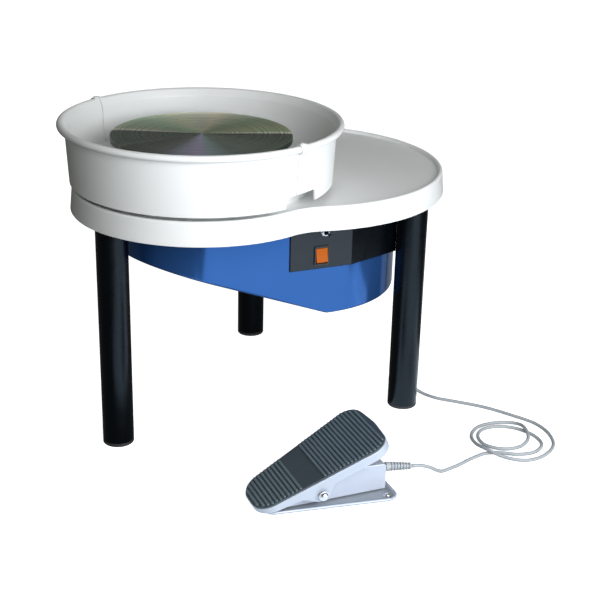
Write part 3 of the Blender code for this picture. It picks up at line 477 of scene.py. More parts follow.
# ---------------------------------------------------------------- pedal cord
CORD_ROUTE = [
    (0.0873, -0.4250, 0.0361), (0.1000, -0.4315, 0.0348), (0.1190, -0.4358, 0.0265),
    (0.1370, -0.4355, 0.0145), (0.1540, -0.4335, 0.0055), (0.1740, -0.4335, 0.0033),
    (0.1980, -0.4350, 0.0033), (0.2250, -0.4345, 0.0033), (0.2600, -0.4390, 0.0033),
    (0.2800, -0.4540, 0.0033), (0.2980, -0.4760, 0.0033), (0.3270, -0.4890, 0.0033),
    (0.3570, -0.4800, 0.0033), (0.3720, -0.4520, 0.0033), (0.3700, -0.4170, 0.0033),
    (0.3520, -0.3900, 0.0033), (0.3220, -0.3790, 0.0033), (0.2960, -0.3890, 0.0033),
    (0.2810, -0.4170, 0.0033), (0.2930, -0.4470, 0.0033), (0.3240, -0.4610, 0.0033),
    (0.3510, -0.4550, 0.0065), (0.3700, -0.4330, 0.0108), (0.3800, -0.4070, 0.0065),
    (0.3610, -0.3790, 0.0033), (0.3250, -0.3675, 0.0033), (0.2910, -0.3790, 0.0033),
    (0.2690, -0.4060, 0.0060), (0.2600, -0.4380, 0.0108), (0.2690, -0.4700, 0.0060),
    (0.2910, -0.4970, 0.0033), (0.3250, -0.5070, 0.0033), (0.3680, -0.4960, 0.0033),
    (0.3970, -0.4650, 0.0033), (0.4100, -0.4260, 0.0033), (0.4030, -0.3750, 0.0033),
    (0.3900, -0.3250, 0.0033), (0.3690, -0.2800, 0.0033), (0.3500, -0.2410, 0.0033),
    (0.3450, -0.2080, 0.0045), (0.3400, -0.1830, 0.0160), (0.3355, -0.1715, 0.0450),
    (0.3330, -0.1680, 0.1000), (0.3330, -0.1680, 0.2000), (0.3330, -0.1680, 0.3000),
    (0.3330, -0.1680, 0.3600)]


def smooth_route(points, spacing):
    """A centripetal Catmull-Rom curve through the points, read at even steps."""
    route = [Vector(p) for p in points]
    route = [2 * route[0] - route[1]] + route + [2 * route[-1] - route[-2]]
    fine = []
    for p0, p1, p2, p3 in zip(route, route[1:], route[2:], route[3:]):
        t1 = (p1 - p0).length ** 0.5
        t2 = t1 + (p2 - p1).length ** 0.5
        t3 = t2 + (p3 - p2).length ** 0.5
        for k in range(16):
            t = t1 + (t2 - t1) * k / 16
            a1 = p0 * (t1 - t) / t1 + p1 * t / t1
            a2 = p1 * (t2 - t) / (t2 - t1) + p2 * (t - t1) / (t2 - t1)
            a3 = p2 * (t3 - t) / (t3 - t2) + p3 * (t - t2) / (t3 - t2)
            b1 = a1 * (t2 - t) / t2 + a2 * t / t2
            b2 = a2 * (t3 - t) / (t3 - t1) + a3 * (t - t1) / (t3 - t1)
            fine.append(b1 * (t2 - t) / (t2 - t1) + b2 * (t - t1) / (t2 - t1))
    fine.append(route[-2])
    total = sum((b - a).length for a, b in zip(fine, fine[1:]))
    count = round(total / spacing)
    even = [fine[0]]
    walked = 0.0
    for a, b in zip(fine, fine[1:]):
        step = (b - a).length
        while len(even) < count and walked + step >= len(even) * total / count:
            even.append(a.lerp(b, (len(even) * total / count - walked) / step))
        walked += step
    even.append(fine[-1])
    return even


def make_cord():
    """The pedal's cord, from its strain relief to the gland under the chassis plate."""
    curve = bpy.data.curves.new("pedal_lead", "CURVE")
    curve.dimensions = "3D"
    curve.bevel_depth = CORD_RADIUS
    curve.bevel_resolution = 4
    curve.use_fill_caps = True
    spline = curve.splines.new("POLY")
    points = smooth_route(CORD_ROUTE, CORD_STEP)
    spline.points.add(len(points) - 1)
    for target, point in zip(spline.points, points):
        target.co = (*point, 1.0)
    lead = add_object("pedal_lead", curve, MACHINE)
    dress(lead, "grey_cable", "root", "pedal_cord")


# ---------------------------------------------------------------- table
def keyhole(inset):
    """The table's outline: a round end, a wide end and a hollow neck on each side between them."""
    to_round = TABLE_ROUND_RADIUS + TABLE_NECK_RADIUS
    to_wide = TABLE_WIDE_RADIUS + TABLE_NECK_RADIUS
    neck_x = (TABLE_WIDE_CENTRE ** 2 + to_round ** 2 - to_wide ** 2) / (2 * TABLE_WIDE_CENTRE)
    neck_y = math.sqrt(to_round ** 2 - neck_x ** 2)
    round_angle = math.atan2(neck_y, neck_x)
    wide_angle = math.atan2(neck_y, neck_x - TABLE_WIDE_CENTRE)
    neck = TABLE_NECK_RADIUS + inset
    upper = arc((neck_x, neck_y), neck, wide_angle - math.pi, round_angle - math.pi, 24)
    lower = arc((neck_x, -neck_y), neck, math.pi - round_angle, math.pi - wide_angle, 24)
    left = arc((0.0, 0.0), TABLE_ROUND_RADIUS - inset, round_angle, 2 * math.pi - round_angle, 110)
    right = []
    for k in range(131):
        angle = wide_angle * (2 * k / 130 - 1)
        swell = TABLE_WIDE_SWELL * math.sin(math.pi * angle / wide_angle) ** 2
        reach = TABLE_WIDE_RADIUS - inset + swell
        right.append((TABLE_WIDE_CENTRE + reach * math.cos(angle), reach * math.sin(angle)))
    return upper[:-1] + left + lower[1:-1] + right


def ring_like(outline, radius, z):
    """A circle about the wheel axis with one point for each of an outline's."""
    angles = [math.atan2(y, x) for x, y in outline]
    return [(radius * math.cos(angle), radius * math.sin(angle), z) for angle in angles]


def make_table():
    """Moulded top: drafted skirt, rounded lip, sunken work surface and a platform for the pan."""
    outside = [(0.0030, TABLE_SKIRT_BOTTOM), (0.0008, TABLE_SKIRT_BOTTOM),
               (0.0, TABLE_SKIRT_BOTTOM + 0.0012), (0.0016, 0.4020), (0.0031, 0.4185)]
    crown = [(0.00735 - 0.00415 * math.cos(turn), 0.4193 + 0.0050 * math.sin(turn))
             for turn in (math.pi * k / 12 for k in range(13))]
    hollow = [(0.0117, 0.4188), (0.0124, 0.4183), (0.0135, 0.41805), (0.0150, TABLE_WORK_SURFACE)]
    rings = stacked(keyhole, outside + crown + hollow)
    guide = keyhole(0.0)
    platform = [(0.1795, 0.4180), (0.1775, 0.4182), (0.1762, 0.4190), (0.1755, 0.4205),
                (0.1748, 0.4400), (0.1745, 0.4520), (0.1738, 0.4538), (0.1722, PLATFORM_TOP),
                (0.1690, PLATFORM_TOP), (0.0375, PLATFORM_TOP), (0.0362, 0.4543), (0.0360, 0.4530),
                (0.0360, PLATFORM_ROOF), (0.1695, PLATFORM_ROOF), (0.1695, TABLE_UNDERSIDE)]
    rings += [ring_like(guide, radius, z) for radius, z in platform]
    rings += stacked(keyhole, [(0.0058, TABLE_UNDERSIDE), (0.0058, TABLE_SKIRT_BOTTOM)])
    dress(make("work_table", loft(rings, closed=True)), "white_plastic", "root", "table_top", sharp=50)


# ---------------------------------------------------------------- splash pan
def pan_profile():
    """Wall, rolled rim, floor and hub collar, as one closed (radius, z) outline."""
    foot = rounded([(0.2140, PAN_BOTTOM, 0.0008), (0.2175, PAN_BOTTOM, 0.0014),
                    (0.2220, 0.5195, 0.0), (0.2, 0.5, 0.0)], 4)[:-2]
    neck = [(0.2219, 0.5165), (0.2222, 0.5184), (0.2232, 0.5201), (0.2249, 0.5212)]
    rim = arc(RIM_CENTRE, RIM_BEAD, math.radians(-115), math.radians(165), 18)
    inner = rounded([(0.2236, 0.5279, 0.0), (0.2190, 0.5185, 0.006), (0.2158, 0.4580, 0.010),
                     (0.0434, 0.4580, 0.003), (0.0430, 0.4655, 0.0010), (0.0400, 0.4655, 0.0010),
                     (0.0400, 0.4550, 0.0)], 6)[1:]
    under = rounded([(0.0400, 0.4550, 0.0), (0.2152, 0.4550, 0.002), (0.2140, 0.4310, 0.0)], 4)[1:-1]
    return foot + neck + rim + inner + under


def half_turn(profile, side, steps=150):
    """Sweep a profile round one side of the seam, every point ending on the seam's plane."""
    edge = SEAM_OFFSET + side * SEAM_GAP / 2
    rings = []
    for k in range(steps + 1):
        ring = []
        for radius, z in profile:
            reach = math.acos(edge / radius)
            if side > 0:
                angle = SEAM_NORMAL + reach * (2 * k / steps - 1)
            else:
                angle = SEAM_NORMAL + reach + 2 * (math.pi - reach) * k / steps
            ring.append((radius * math.cos(angle), radius * math.sin(angle), z))
        rings.append(ring)
    return loft(rings)


def make_pan():
    """Two halves cut along one straight seam, with an opening at the foot of the seam's two ends."""
    window = rounded([(-0.0086, -0.0100, 0.0), (-0.0060, 0.0100, 0.004), (0.0006, NOTCH_HEIGHT, 0.006),
                      (0.0602, NOTCH_HEIGHT, 0.005), (0.0642, -0.0100, 0.0)])
    for name, side in (("splash_pan_round_half", -1), ("splash_pan_table_half", 1)):
        half = make(name.replace("splash_pan", "pan"), half_turn(pan_profile(), side))
        for x, y in ((0.0, -0.2100), (-0.0617, 0.2100)):
            spot = at((x, y, PAN_BOTTOM))
            carve(half, make("notch", side_prism(window, 0.030), spot))
        soften(half, 0.0007, 2, 50.0)
        body = "pan_round" if side < 0 else "pan_table"
        dress(half, "white_plastic", body, name, sharp=40)


def make_rim_tongue(name, centre, onward):
    """The round half's rim carried on past the seam as a thin saddle, with a raised catch on it."""
    rings = []
    steps = 36
    for k in range(steps + 1):
        share = k / steps
        angle = centre + onward * math.radians(1.9) * (2 * share - 1)
        nearness = min(1.0, 9 * min(share, 1 - share))
        swell = math.sqrt(1.0 - (1.0 - nearness) ** 2)
        catch = math.exp(-((share - 0.42) / 0.20) ** 6)
        ring = []
        for turn in (math.radians(-72 + 209 * j / 20) for j in range(21)):
            crown = math.exp(-((turn - math.radians(95)) / math.radians(38)) ** 4)
            reach = RIM_BEAD + 0.0013 + 0.0010 * swell + 0.0016 * catch * crown
            ring.append((RIM_CENTRE[0] + reach * math.cos(turn), RIM_CENTRE[1] + reach * math.sin(turn)))
        ring += arc(RIM_CENTRE, RIM_BEAD + 0.0012, math.radians(137), math.radians(-72), 12)
        rings.append([(r * math.cos(angle), r * math.sin(angle), z) for r, z in ring])
    dress(make(name, loft(rings)), "white_plastic", "pan_round", name.replace("tongue", "clip"), sharp=50)


# ---------------------------------------------------------------- wheelhead and spindle
def make_wheelhead():
    """The turned disc, with shallow grooves for centring clay, and its hub."""
    top = [(0.0, WHEELHEAD_TOP), (0.0035, WHEELHEAD_TOP)]
    for radius in (0.020, 0.036, 0.052, 0.068, 0.084, 0.100, 0.116, 0.132):
        top += [(radius - 0.0003, WHEELHEAD_TOP), (radius, WHEELHEAD_TOP - 0.0001),
                (radius + 0.0003, WHEELHEAD_TOP)]
    edge = rounded([(WHEELHEAD_RADIUS, WHEELHEAD_TOP, 0.0016),
                    (WHEELHEAD_RADIUS, WHEELHEAD_UNDERSIDE, 0.0010),
                    (HUB_RADIUS, WHEELHEAD_UNDERSIDE, 0.004), (HUB_RADIUS, HUB_BOTTOM, 0.0010),
                    (SPINDLE_BORE, HUB_BOTTOM, 0.0)], 5)
    seat = [(SPINDLE_BORE, 0.4988), (0.0, 0.4988)]
    disc = make("wheelhead_disc", lathe(top + edge + seat, 192))
    sideways = at((0, 0, 0.4810)) @ Matrix.Rotation(math.radians(90), 4, "Y")
    carve(disc, make("screw_hole", rod(0.0043, 0.005, 0.040), sideways))
    dress(disc, "spun_aluminium", "wheel", "wheelhead")
    slinger = rounded([(SPINDLE_BORE, 0.4560, 0.0), (0.0340, 0.4560, 0.0006), (0.0340, 0.4590, 0.001),
                       (0.0150, 0.4660, 0.001), (SPINDLE_BORE, 0.4660, 0.0)])
    dress(make("slinger_ring", lathe(slinger)), "black_rubber", "wheel", "splash_slinger")


# ---------------------------------------------------------------- legs
def make_legs():
    """Three powder-coated tubes on moulded foot caps."""
    fit = LEG_RADIUS - LEG_WALL - GAP
    for name, (x, y) in LEG_SPOTS.items():
        place = at((x, y, 0))
        inner = LEG_RADIUS - LEG_WALL
        wall = rounded([(inner, 0.0063, 0.0005), (LEG_RADIUS, 0.0063, 0.0008),
                        (LEG_RADIUS, 0.4002, 0.0008), (inner, 0.4002, 0.0005)], 3)
        dress(make(f"tube_leg_{name}", lathe(wall, 128), place), "black_steel", "root", f"leg_{name}")
        cap = rounded([(LEG_RADIUS, 0.0, 0.0022), (LEG_RADIUS, 0.0060, 0.0008), (fit, 0.0060, 0.0),
                       (fit, 0.0350, 0.001), (0.0, 0.0350, 0.0), (0.0, 0.0012, 0.0),
                       (0.0180, 0.0012, 0.0), (0.0190, 0.0, 0.0)], 5)
        dress(make(f"rubber_foot_{name}", lathe(cap, 128), place), "black_rubber", "root",
              f"foot_cap_{name}")


# ---------------------------------------------------------------- body below the table
def panel_windows():
    """Cutters for the rocker and the toggle, through whatever lies on the panel."""
    return (make("rocker_window", block(ROCKER_WINDOW), on_panel(ROCKER_SPOT)),
            make("toggle_hole", rod(TOGGLE_HOLE_RADIUS, -0.02, 0.02), on_panel(TOGGLE_SPOT) @ ACROSS))


def inlet_window():
    """A cutter for the mains inlet, through the far side's sheets."""
    return make("inlet_window", block(INLET_WINDOW), at(INLET_PLACE))


def body_outline(distance):
    """Plan of the belly pan: a round nose, two spreading sides and a round end under the table's."""
    lean = PANEL_LEAN
    nose_radius = distance + BELLY_NOSE_CENTRE * math.sin(lean)
    end_radius = distance + TABLE_WIDE_CENTRE * math.sin(lean)
    lower = arc((BELLY_NOSE_CENTRE, 0), nose_radius, math.pi, 1.5 * math.pi - lean, 40)
    lower += arc((TABLE_WIDE_CENTRE, 0), end_radius, -math.pi / 2 - lean, 0, 60)
    return lower + [(x, -y) for x, y in reversed(lower[1:-1])]


def make_belly_pan():
    """The blue sheet-steel pan: its floor slopes up under the nose and is flat at the wide end."""
    top = CHASSIS_UNDERSIDE - GAP
    side = rounded([(-0.20, BELLY_FLOOR + BELLY_NOSE_RISE, 0.0), (0.130, BELLY_FLOOR, 0.020),
                    (0.45, BELLY_FLOOR, 0.0), (0.45, 0.44, 0.0), (-0.20, 0.44, 0.0)], 8)
    distance = PANEL_DISTANCE - PANEL_THICKNESS - GAP
    pan = make("blue_belly", prism(body_outline(distance), 0.15, top))
    carve(pan, make("belly_side", side_prism(side, 0.25)), operation="INTERSECT")
    soften(pan, 0.0035, 3, 35.0)
    bm = bmesh.new()
    bm.from_mesh(pan.data)
    lid = [face for face in bm.faces if face.normal.z > 0.7 and face.calc_center_median().z > top - 0.006]
    bmesh.ops.delete(bm, geom=lid, context="FACES")
    bm.to_mesh(pan.data)
    bm.free()
    thicken = pan.modifiers.new("sheet", "SOLIDIFY")
    thicken.thickness = BELLY_WALL
    thicken.offset = -1.0
    bake(pan)
    carve(pan, *panel_windows(), inlet_window())
    dress(pan, "blue_steel", "root", "belly_pan", sharp=38)


def on_panel(spot, outward=0.0):
    """A place on the panel's outer face, +X along it and -Y out of it."""
    place = PANEL_OUT * (PANEL_DISTANCE + outward) + PANEL_ALONG * spot[0] + Vector((0, 0, spot[1]))
    return at(place) @ Matrix.Rotation(-PANEL_LEAN, 4, "Z")


def fold_along(inset=0.0):
    """How far along the panel's face the bracket folds."""
    return (BRACKET_FACE - inset - (PANEL_DISTANCE - inset) * math.cos(PANEL_LEAN)) / math.sin(PANEL_LEAN)


def bracket_plan():
    """Plan of the bent sheet: a leaning face and a straight one that reaches the leg."""
    corners = []
    for inset, fold in ((0.0, 0.0040), (PANEL_THICKNESS, 0.0015)):
        face = PANEL_OUT * (PANEL_DISTANCE - inset)
        run = [(*(face + PANEL_ALONG * PANEL_START).to_2d(), 0.0),
               (*(face + PANEL_ALONG * fold_along(inset)).to_2d(), fold),
               (BRACKET_END, inset - BRACKET_FACE, 0.0)]
        corners += run if inset == 0.0 else run[::-1]
    return corners


def make_brackets():
    """The control panel on the near side, with a lighter copy of its black paint laid on its leaning face as
    painted light, and the plain bracket on the far one.
    """
    top = CHASSIS_UNDERSIDE - GAP
    panel = make("slate_panel", prism(rounded(bracket_plan()), PANEL_BOTTOM, top))
    carve(panel, *panel_windows())
    soften(panel, 0.0003, 2, 50.0)
    dress(panel, "black_steel", "root", "control_panel")
    # A thin sheet in a lighter copy of the black paint over the leaning face: painted light where the bent
    # sheet catches the light.
    fold = fold_along()
    size = (fold - PANEL_START - 2 * LIT_FACE_MARGIN, 0.0002, top - PANEL_BOTTOM - 2 * LIT_FACE_MARGIN)
    middle = on_panel(((fold + PANEL_START) / 2, (top + PANEL_BOTTOM) / 2), 0.00015)
    lit_face = make("panel_lit_face", block(size), middle)
    carve(lit_face, *panel_windows())
    dress(lit_face, "slate_steel", "root")
    plan = rounded([(x, -y, radius) for x, y, radius in bracket_plan()][::-1])
    bracket = make("far_bracket", prism(plan, PANEL_BOTTOM, top))
    carve(bracket, inlet_window())
    soften(bracket, 0.0003, 2, 50.0)
    dress(bracket, "black_steel", "root", "rear_bracket")


def make_switches():
    """The power rocker in its bezel, and the direction toggle in its threaded bushing."""
    upright = on_panel(ROCKER_SPOT) @ ACROSS
    bezel = make("rocker_frame", prism(rounded_box(0.0135, 0.0165, 0.0022), 0.0003, 0.0029), upright)
    carve(bezel, make("body", block((0.0240, 0.0300, 0.0180), (0, 0, -0.0075)), upright), operation="UNION")
    carve(bezel, make("mouth", block((0.0218, 0.0278, 0.0160), (0, 0, -0.0050)), upright))
    soften(bezel, 0.0007, 3, 40.0)
    dress(bezel, "black_plastic", "root", "rocker_bezel")
    paddle = rounded([(-0.0128, -0.0020, 0.0008), (-0.0110, 0.0058, 0.0012), (0.0, 0.0030, 0.020),
                      (0.0128, 0.0018, 0.0012), (0.0120, -0.0070, 0.001), (0.0, -0.0100, 0.004),
                      (-0.0120, -0.0070, 0.001)], 5)
    rings = [[(x, -depth, z) for z, depth in paddle] for x in (-0.0103, 0.0103)]
    rocker = make("orange_rocker", loft(rings), on_panel(ROCKER_SPOT))
    soften(rocker, 0.0005, 3, 60.0)
    dress(rocker, "orange_plastic", "rocker", "power_rocker")

    upright = on_panel(TOGGLE_SPOT) @ ACROSS
    sleeve = [(0.0044, -0.0120), (0.0060, -0.0120), (0.0060, 0.0034)]
    for k in range(6):
        sleeve += [(0.0060, 0.0036 + 0.0007 * k), (0.0056, 0.00395 + 0.0007 * k)]
    sleeve += [(0.0059, 0.0079), (0.0055, 0.0081), (0.0044, 0.0081)]
    dress(make("toggle_sleeve", lathe(sleeve, 64), upright), "bright_steel", "root", "toggle_bushing")
    hexagon = lathe([(0.0061, 0.0003), (0.0078, 0.0003), (0.0078, 0.0030), (0.0061, 0.0030)], 6)
    nut = make("toggle_nut", hexagon, upright)
    soften(nut, 0.0004, 2, 30.0)
    dress(nut, "bright_steel", "root")
    lever = [(0.0, -0.0090), (0.0020, -0.0090), (0.0015, -0.0020), (0.0014, 0.0060), (0.0019, 0.0190)]
    lever += arc((0.0, 0.0247), 0.0028, math.radians(-40), math.radians(90), 12)[:-1] + [(0.0, 0.0275)]
    dress(make("toggle_lever", lathe(lever, 48), upright), "black_plastic", "toggle", "direction_toggle")


def make_inlet():
    """The mains inlet on the far bracket: a flanged body with a recess and three blades."""
    place = at(INLET_PLACE) @ Matrix.Rotation(math.radians(-90), 4, "X")
    inlet = make("mains_inlet", prism(rounded_box(0.0280, 0.0180, 0.005), 0.0003, 0.0033), place)
    carve(inlet, make("body", block((0.0470, 0.0270, 0.0250), (0, 0, -0.0118)), place), operation="UNION")
    mouth = rounded([(-0.0175, -0.0095, 0.001), (0.0075, -0.0095, 0.001), (0.0075, 0.0055, 0.003),
                     (0.0035, 0.0095, 0.003), (-0.0135, 0.0095, 0.003), (-0.0175, 0.0055, 0.003)])
    carve(inlet, make("mouth", prism(mouth, -0.0190, 0.01), place))
    for x in (-0.0225, 0.0225):
        carve(inlet, make("hole", rod(0.0017, -0.01, 0.01, 24), at((x, 0, 0), place)))
    soften(inlet, 0.0005, 2, 40.0)
    dress(inlet, "black_plastic", "root", "power_inlet")
    for name, x, y in (("left", -0.0120, -0.002), ("middle", -0.0050, 0.002), ("right", 0.0020, -0.002)):
        blade = make(f"inlet_blade_{name}", block((0.0018, 0.0048, 0.0150), (x, y, -0.0115)), place)
        soften(blade, 0.0004, 2, 40.0)
        dress(blade, "bright_steel", "root")


# ---------------------------------------------------------------- foot pedal
def taper(heel, toe, heel_half, toe_half, heel_round, toe_round, inset, bulge=0.0):
    """A tapered outline, narrow at the heel, with rounded corners."""
    corners = [(heel + inset, heel_half - inset, heel_round - inset),
               (heel + inset, -heel_half + inset, heel_round - inset),
               (toe - inset, -toe_half + inset, toe_round - inset)]
    if bulge:
        corners.append((toe - inset + bulge, 0.0, 0.10))
    corners.append((toe - inset, toe_half - inset, toe_round - inset))
    return rounded(corners, 12)


def treadle_outline(inset=0.0):
    """The treadle's outline, along the treadle from its pivot."""
    return taper(-0.0995, 0.1275, 0.0415, 0.0715, 0.034, 0.029, inset, bulge=0.006)


def make_pedal_base():
    """A cast tray with a raised rim, a darker plate of its paint on the floor as painted shade under the
    treadle, the housing on it and its bolts.
    """
    def outline(inset):
        return taper(-0.0970, 0.1210, 0.0335, 0.0640, 0.020, 0.020, inset)

    steps = [(0.0024, 0.0), (0.0010, 0.0004), (0.0, 0.0016), (0.0, 0.0036), (0.0008, 0.0047),
             (0.0020, BASE_THICKNESS), (0.0032, 0.0047), (0.0042, 0.0036), (0.0050, 0.0032)]
    tray = make("pedal_tray", loft(stacked(outline, steps)), PEDAL)
    dress(tray, "cast_silver", "root", "pedal_base", sharp=50)
    # The floor plate is the cast paint made darker: painted shade where the treadle shades the tray.
    dress(make("shaded_tray_floor", prism(outline(0.0053), 0.0033, 0.0037), PEDAL), "cast_silver", "root",
          look="cast_silver_shaded")
    shape = rounded([(-0.060, 0.0053, 0.0), (0.1085, 0.0053, 0.0), (0.1085, 0.0500, 0.006),
                     (0.0700, 0.0520, 0.04), (0.0, 0.0460, 0.06), (-0.030, 0.0360, 0.06),
                     (-0.060, 0.0230, 0.004)], 6)
    housing = make("pedal_body", side_prism(shape, HOUSING_HALF_WIDTH), PEDAL)
    soften(housing, 0.0022, 4, 40.0)
    inner = [(-0.057, -0.01), (0.1060, -0.01), (0.1060, 0.0460), (0.0700, 0.0490), (0.0010, 0.0430),
             (-0.0290, 0.0330), (-0.057, 0.0205)]
    carve(housing, make("hollow", side_prism(inner, HOUSING_HALF_WIDTH - 0.0025), PEDAL),
          make("bore", rod(PIVOT_BORE, -0.08, 0.08), PIVOT),
          make("relief_hole", rod(0.0054, -0.02, 0.01), relief_place()))
    dress(housing, "cast_silver", "root", "pedal_housing", sharp=40)

    for name, x, y in (("toe", 0.1030, -0.0480), ("heel", -0.0840, 0.0)):
        head = [(0.0, 0.0), (0.0062, 0.0), (0.0062, 0.0006), (0.0048, 0.0008), (0.0048, 0.0018),
                (0.0042, 0.0027), (0.0030, 0.0033), (0.0017, 0.0035), (0.0015, 0.0024), (0.0, 0.0024)]
        place = at((x, y, 0.0040), PEDAL)
        dress(make(f"tray_bolt_{name}", lathe(head, 48), place), "bright_steel", "root",
              f"pedal_base_bolt_{name}")


def relief_place():
    """The strain relief's root, +Z along it."""
    return (at(RELIEF_PLACE, PEDAL) @ Matrix.Rotation(math.radians(-9), 4, "Z")
            @ Matrix.Rotation(math.radians(95), 4, "Y"))


def make_strain_relief():
    """A collar and a ribbed sleeve round the cord's root."""
    profile = [(0.0034, -0.0120), (0.0048, -0.0120), (0.0048, 0.0), (0.0070, 0.0), (0.0075, 0.0006),
               (0.0075, 0.0070), (0.0068, 0.0082)]
    for k in range(7):
        low = 0.0092 + 0.0050 * k
        size = 0.0074 - 0.00026 * k
        profile += [(size - 0.0022, low), (size - 0.0003, low + 0.0003), (size, low + 0.0009),
                    (size, low + 0.0021), (size - 0.0003, low + 0.0027), (size - 0.0022, low + 0.0030)]
    profile += [(0.0034, 0.0440)]
    dress(make("relief_sleeve", lathe(profile, 64), relief_place()), "grey_cable", "root",
          "pedal_strain_relief")


def half_width_at(outline, place):
    """Half the width of an outline at one place along it."""
    for (x0, y0), (x1, y1) in zip(outline, outline[1:] + outline[:1]):
        if y0 > 0 and y1 > 0 and min(x0, x1) <= place < max(x0, x1):
            return y0 + (y1 - y0) * (place - x0) / (x1 - x0)
    return 0.0


def rib(place, half, width, low, high):
    """One cross rib with rounded ends and a rounded back."""
    plan = rounded_box(width / 2, half, width * 0.45, 4, place)
    rings = []
    for inset, z in ((0.0, low), (0.0, high - 0.0008), (0.0003, high - 0.0003), (0.0009, high)):
        share = 1 - inset / (width / 2)
        rings.append([(place + (x - place) * share, y * (1 - inset / half), z) for x, y in plan])
    return loft(rings)


def make_treadle():
    """The cast treadle, its ribbed rubber pad and the pivot bolt across the housing."""
    plate_top = PAD_BOTTOM - GAP
    treadle = make("treadle_plate", prism(treadle_outline(), -0.020, plate_top), TREADLE)
    flange = rounded([(-0.1100, 0.0155, 0.0), (-0.0900, 0.0135, 0.010), (-0.0300, 0.0075, 0.010),
                      (-0.0100, -0.0105, 0.008), (0.0085, -0.0105, 0.008), (0.0240, 0.0065, 0.010),
                      (0.1500, 0.0090, 0.0), (0.1500, 0.0400, 0.0), (-0.1100, 0.0400, 0.0)], 6)
    carve(treadle, make("flange_side", side_prism(flange, 0.12), TREADLE), operation="INTERSECT")
    carve(treadle, make("hollow", prism(treadle_outline(0.0025), -0.05, plate_top - 0.0025), TREADLE),
          make("bore", rod(PIVOT_BORE, -0.08, 0.08), PIVOT))
    soften(treadle, 0.0008, 3, 40.0)
    dress(treadle, "cast_silver", "treadle", "treadle", sharp=40)

    slab_top = PAD_TOP - 0.0020
    edge = treadle_outline(0.0012)
    steps = [(0.0012, PAD_BOTTOM), (0.0012, slab_top - 0.0012), (0.0017, slab_top - 0.0004),
             (0.0028, slab_top)]
    bm = loft(stacked(treadle_outline, steps))
    spots = [-0.0930 + 0.0068 * k for k in range(11)] + [0.0170 + 0.0065 * k for k in range(17)]
    for spot in spots:
        half = min(half_width_at(edge, spot - 0.002), half_width_at(edge, spot + 0.002)) - 0.0016
        if half > 0.01:
            one = rib(spot, half, 0.0042, slab_top - 0.0004, PAD_TOP)
            scrap = bpy.data.meshes.new("rib")
            one.to_mesh(scrap)
            one.free()
            bm.from_mesh(scrap)
            bpy.data.meshes.remove(scrap)
    dress(make("ribbed_pad", bm, TREADLE), "pad_rubber", "treadle", "treadle_pad", sharp=45)

    shank = [(0.0, -0.0640), (0.0026, -0.0640), (0.0030, -0.0636), (0.0030, 0.0592), (0.0084, 0.0592),
             (0.0086, 0.0597), (0.0084, 0.0602), (0.0066, 0.0604), (0.0066, 0.0618), (0.0060, 0.0634),
             (0.0046, 0.0648), (0.0026, 0.0655), (0.0010, 0.0656), (0.0, 0.0656)]
    dress(make("treadle_bolt", lathe(shank, 64), PIVOT), "bright_steel", "treadle", "pivot_bolt")
    hexagon = lathe([(0.0033, -0.0640), (0.0066, -0.0640), (0.0066, -0.0590), (0.0033, -0.0590)], 6)
    nut = make("treadle_nut", hexagon, PIVOT)
    soften(nut, 0.0006, 2, 30.0)
    dress(nut, "bright_steel", "treadle", "pivot_nut")


# ---------------------------------------------------------------- the inner works
KEPT = {
    "bright_steel": ("hub_set_screw spindle spindle_nut upper_bearing_outer_race upper_bearing_inner_race "
                     "lower_bearing_outer_race lower_bearing_inner_race motor_armature "
                     "leg_socket_left leg_socket_right leg_socket_rear leg_bolt_left leg_bolt_right "
                     "leg_bolt_rear"),
    "spun_aluminium": "driven_pulley motor_pulley heatsink",
    "black_steel": "motor_can motor_bracket chassis_plate",
    "cast_silver": "bearing_housing motor_end_cap",
    "black_rubber": "drive_belt",
    "black_plastic": "cord_gland speed_potentiometer",
    "green_board": "control_board",
    "blue_steel": "filter_capacitor",
}


def dress_inner_works():
    """Give the CAD's own inner pieces their looks and slightly rounded edges."""
    for slot, names in KEPT.items():
        for name in names.split():
            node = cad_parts[name]
            node.data.materials.clear()
            node.data.materials.append(LOOKS[slot])
            bevel(node, 0.0004, 2, 40.0)


# ---------------------------------------------------------------- light and floor
def facing_machine(azimuth, elevation, distance):
    """A place that looks at the machine; azimuth 0 is the -Y side and 90 the +X side."""
    a, e = math.radians(azimuth), math.radians(elevation)
    back = Vector((math.sin(a) * math.cos(e), -math.cos(a) * math.cos(e), math.sin(e)))
    return (Matrix.Translation(Vector((0.0, 0.0, 0.35)) + back * distance)
            @ (-back).to_track_quat("-Z", "Y").to_matrix().to_4x4())


def softbox(name, place, size, power, colour):
    """A rectangular light that shines along its -Z."""
    light = bpy.data.lights.new(name, "AREA")
    light.shape = "RECTANGLE"
    light.size, light.size_y = size
    light.energy = power
    light.color = colour
    return add_object(name, light, place)


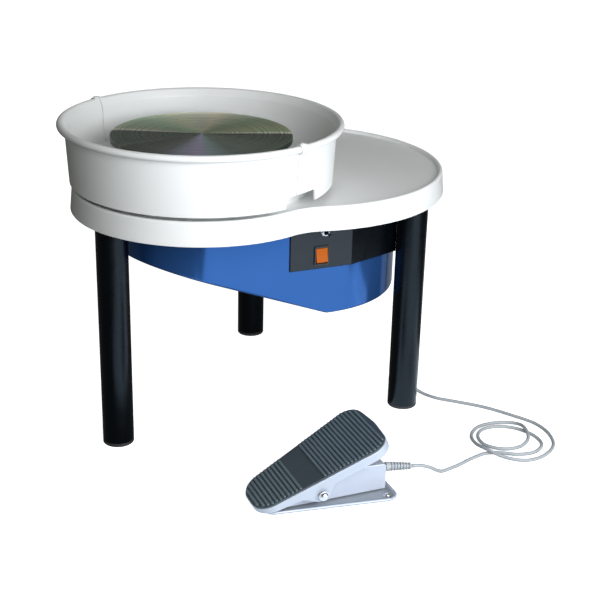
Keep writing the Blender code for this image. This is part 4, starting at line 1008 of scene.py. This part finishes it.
def make_stage():
    """A pale floor and backdrop that only the camera sees, soft lights and dim surroundings.

    The glossy sides mirror the floor, so lights lie on it: the bounces light everything, and the sheens
    show only in glossy pieces.
    """
    pale = new_look("stage_pale", (0.8, 0.8, 0.8), 0.9, Emission_Color=(1.0, 1.0, 1.0, 1.0),
                    Emission_Strength=0.93)
    floor = make("floor", prism(arc((0, 0), 9.0, 0.0, 2 * math.pi * 63 / 64, 63), -0.02, -0.0002))
    dome_mesh = bmesh.new()
    bmesh.ops.create_uvsphere(dome_mesh, u_segments=48, v_segments=24, radius=12.0)
    dome = make("backdrop", dome_mesh)
    for thing in (floor, dome):
        thing.data.materials.append(pale)
        thing.visible_diffuse = False
        thing.visible_glossy = False
        thing.visible_transmission = False
        thing.visible_shadow = False

    key = softbox("key", facing_machine(-14.0, 18.0, 1.75), (1.7, 1.4), 47.0, (0.95, 0.965, 1.0))
    key.visible_camera = False
    fill = softbox("back_fill", facing_machine(135.0, 25.0, 2.6), (1.6, 1.0), 7.0, (1.0, 1.0, 1.0))
    fill.visible_glossy = False
    for name, place, size, power, lights_all in (
            ("front_bounce", (0.07, -1.15, 0.001), (0.90, 0.85), 3.8, True),
            ("right_bounce", (1.00, 0.10, 0.001), (0.55, 0.80), 0.45, True),
            ("near_sheen", (0.03, -0.4625, 0.001), (1.06, 0.525), 2.8, False),
            ("corner_sheen", (0.605, -0.675, 0.001), (0.17, 0.35), 0.30, False)):
        lamp = softbox(name, at(place) @ Matrix.Rotation(math.pi, 4, "X"), size, power, (0.72, 0.84, 0.93))
        lamp.visible_camera = False
        lamp.visible_diffuse = lights_all

    world = bpy.data.worlds.new("surroundings")
    bpy.context.scene.world = world
    world.use_nodes = True
    tree = world.node_tree
    direction = add_node(tree, "ShaderNodeTexCoord").outputs["Generated"]
    height = add_node(tree, "ShaderNodeSeparateXYZ", Vector=direction).outputs["Z"]
    level = add_node(tree, "ShaderNodeMapRange", Value=height, From_Min=-1.0, From_Max=1.0)
    ramp = add_node(tree, "ShaderNodeValToRGB", Fac=level.outputs["Result"])
    ramp.color_ramp.elements[0].color = (0.12, 0.12, 0.11, 1.0)
    ramp.color_ramp.elements[1].color = (0.08, 0.08, 0.08, 1.0)
    for height, brightness in ((0.50, 0.05), (0.57, 0.05), (0.64, 0.27), (0.80, 0.27), (0.86, 0.08)):
        stop = ramp.color_ramp.elements.new(height)
        stop.color = (brightness, brightness * 1.03, brightness * 0.98, 1.0)
    tree.links.new(ramp.outputs["Color"], tree.nodes["Background"].inputs["Color"])


make_cord()
make_table()
make_pan()
make_rim_tongue("rim_tongue_near", math.radians(-86.0), 1)
make_rim_tongue("rim_tongue_far", math.radians(104.2), -1)
make_wheelhead()
make_legs()
make_belly_pan()
make_brackets()
make_switches()
make_inlet()
make_pedal_base()
make_strain_relief()
make_treadle()
dress_inner_works()
make_stage()
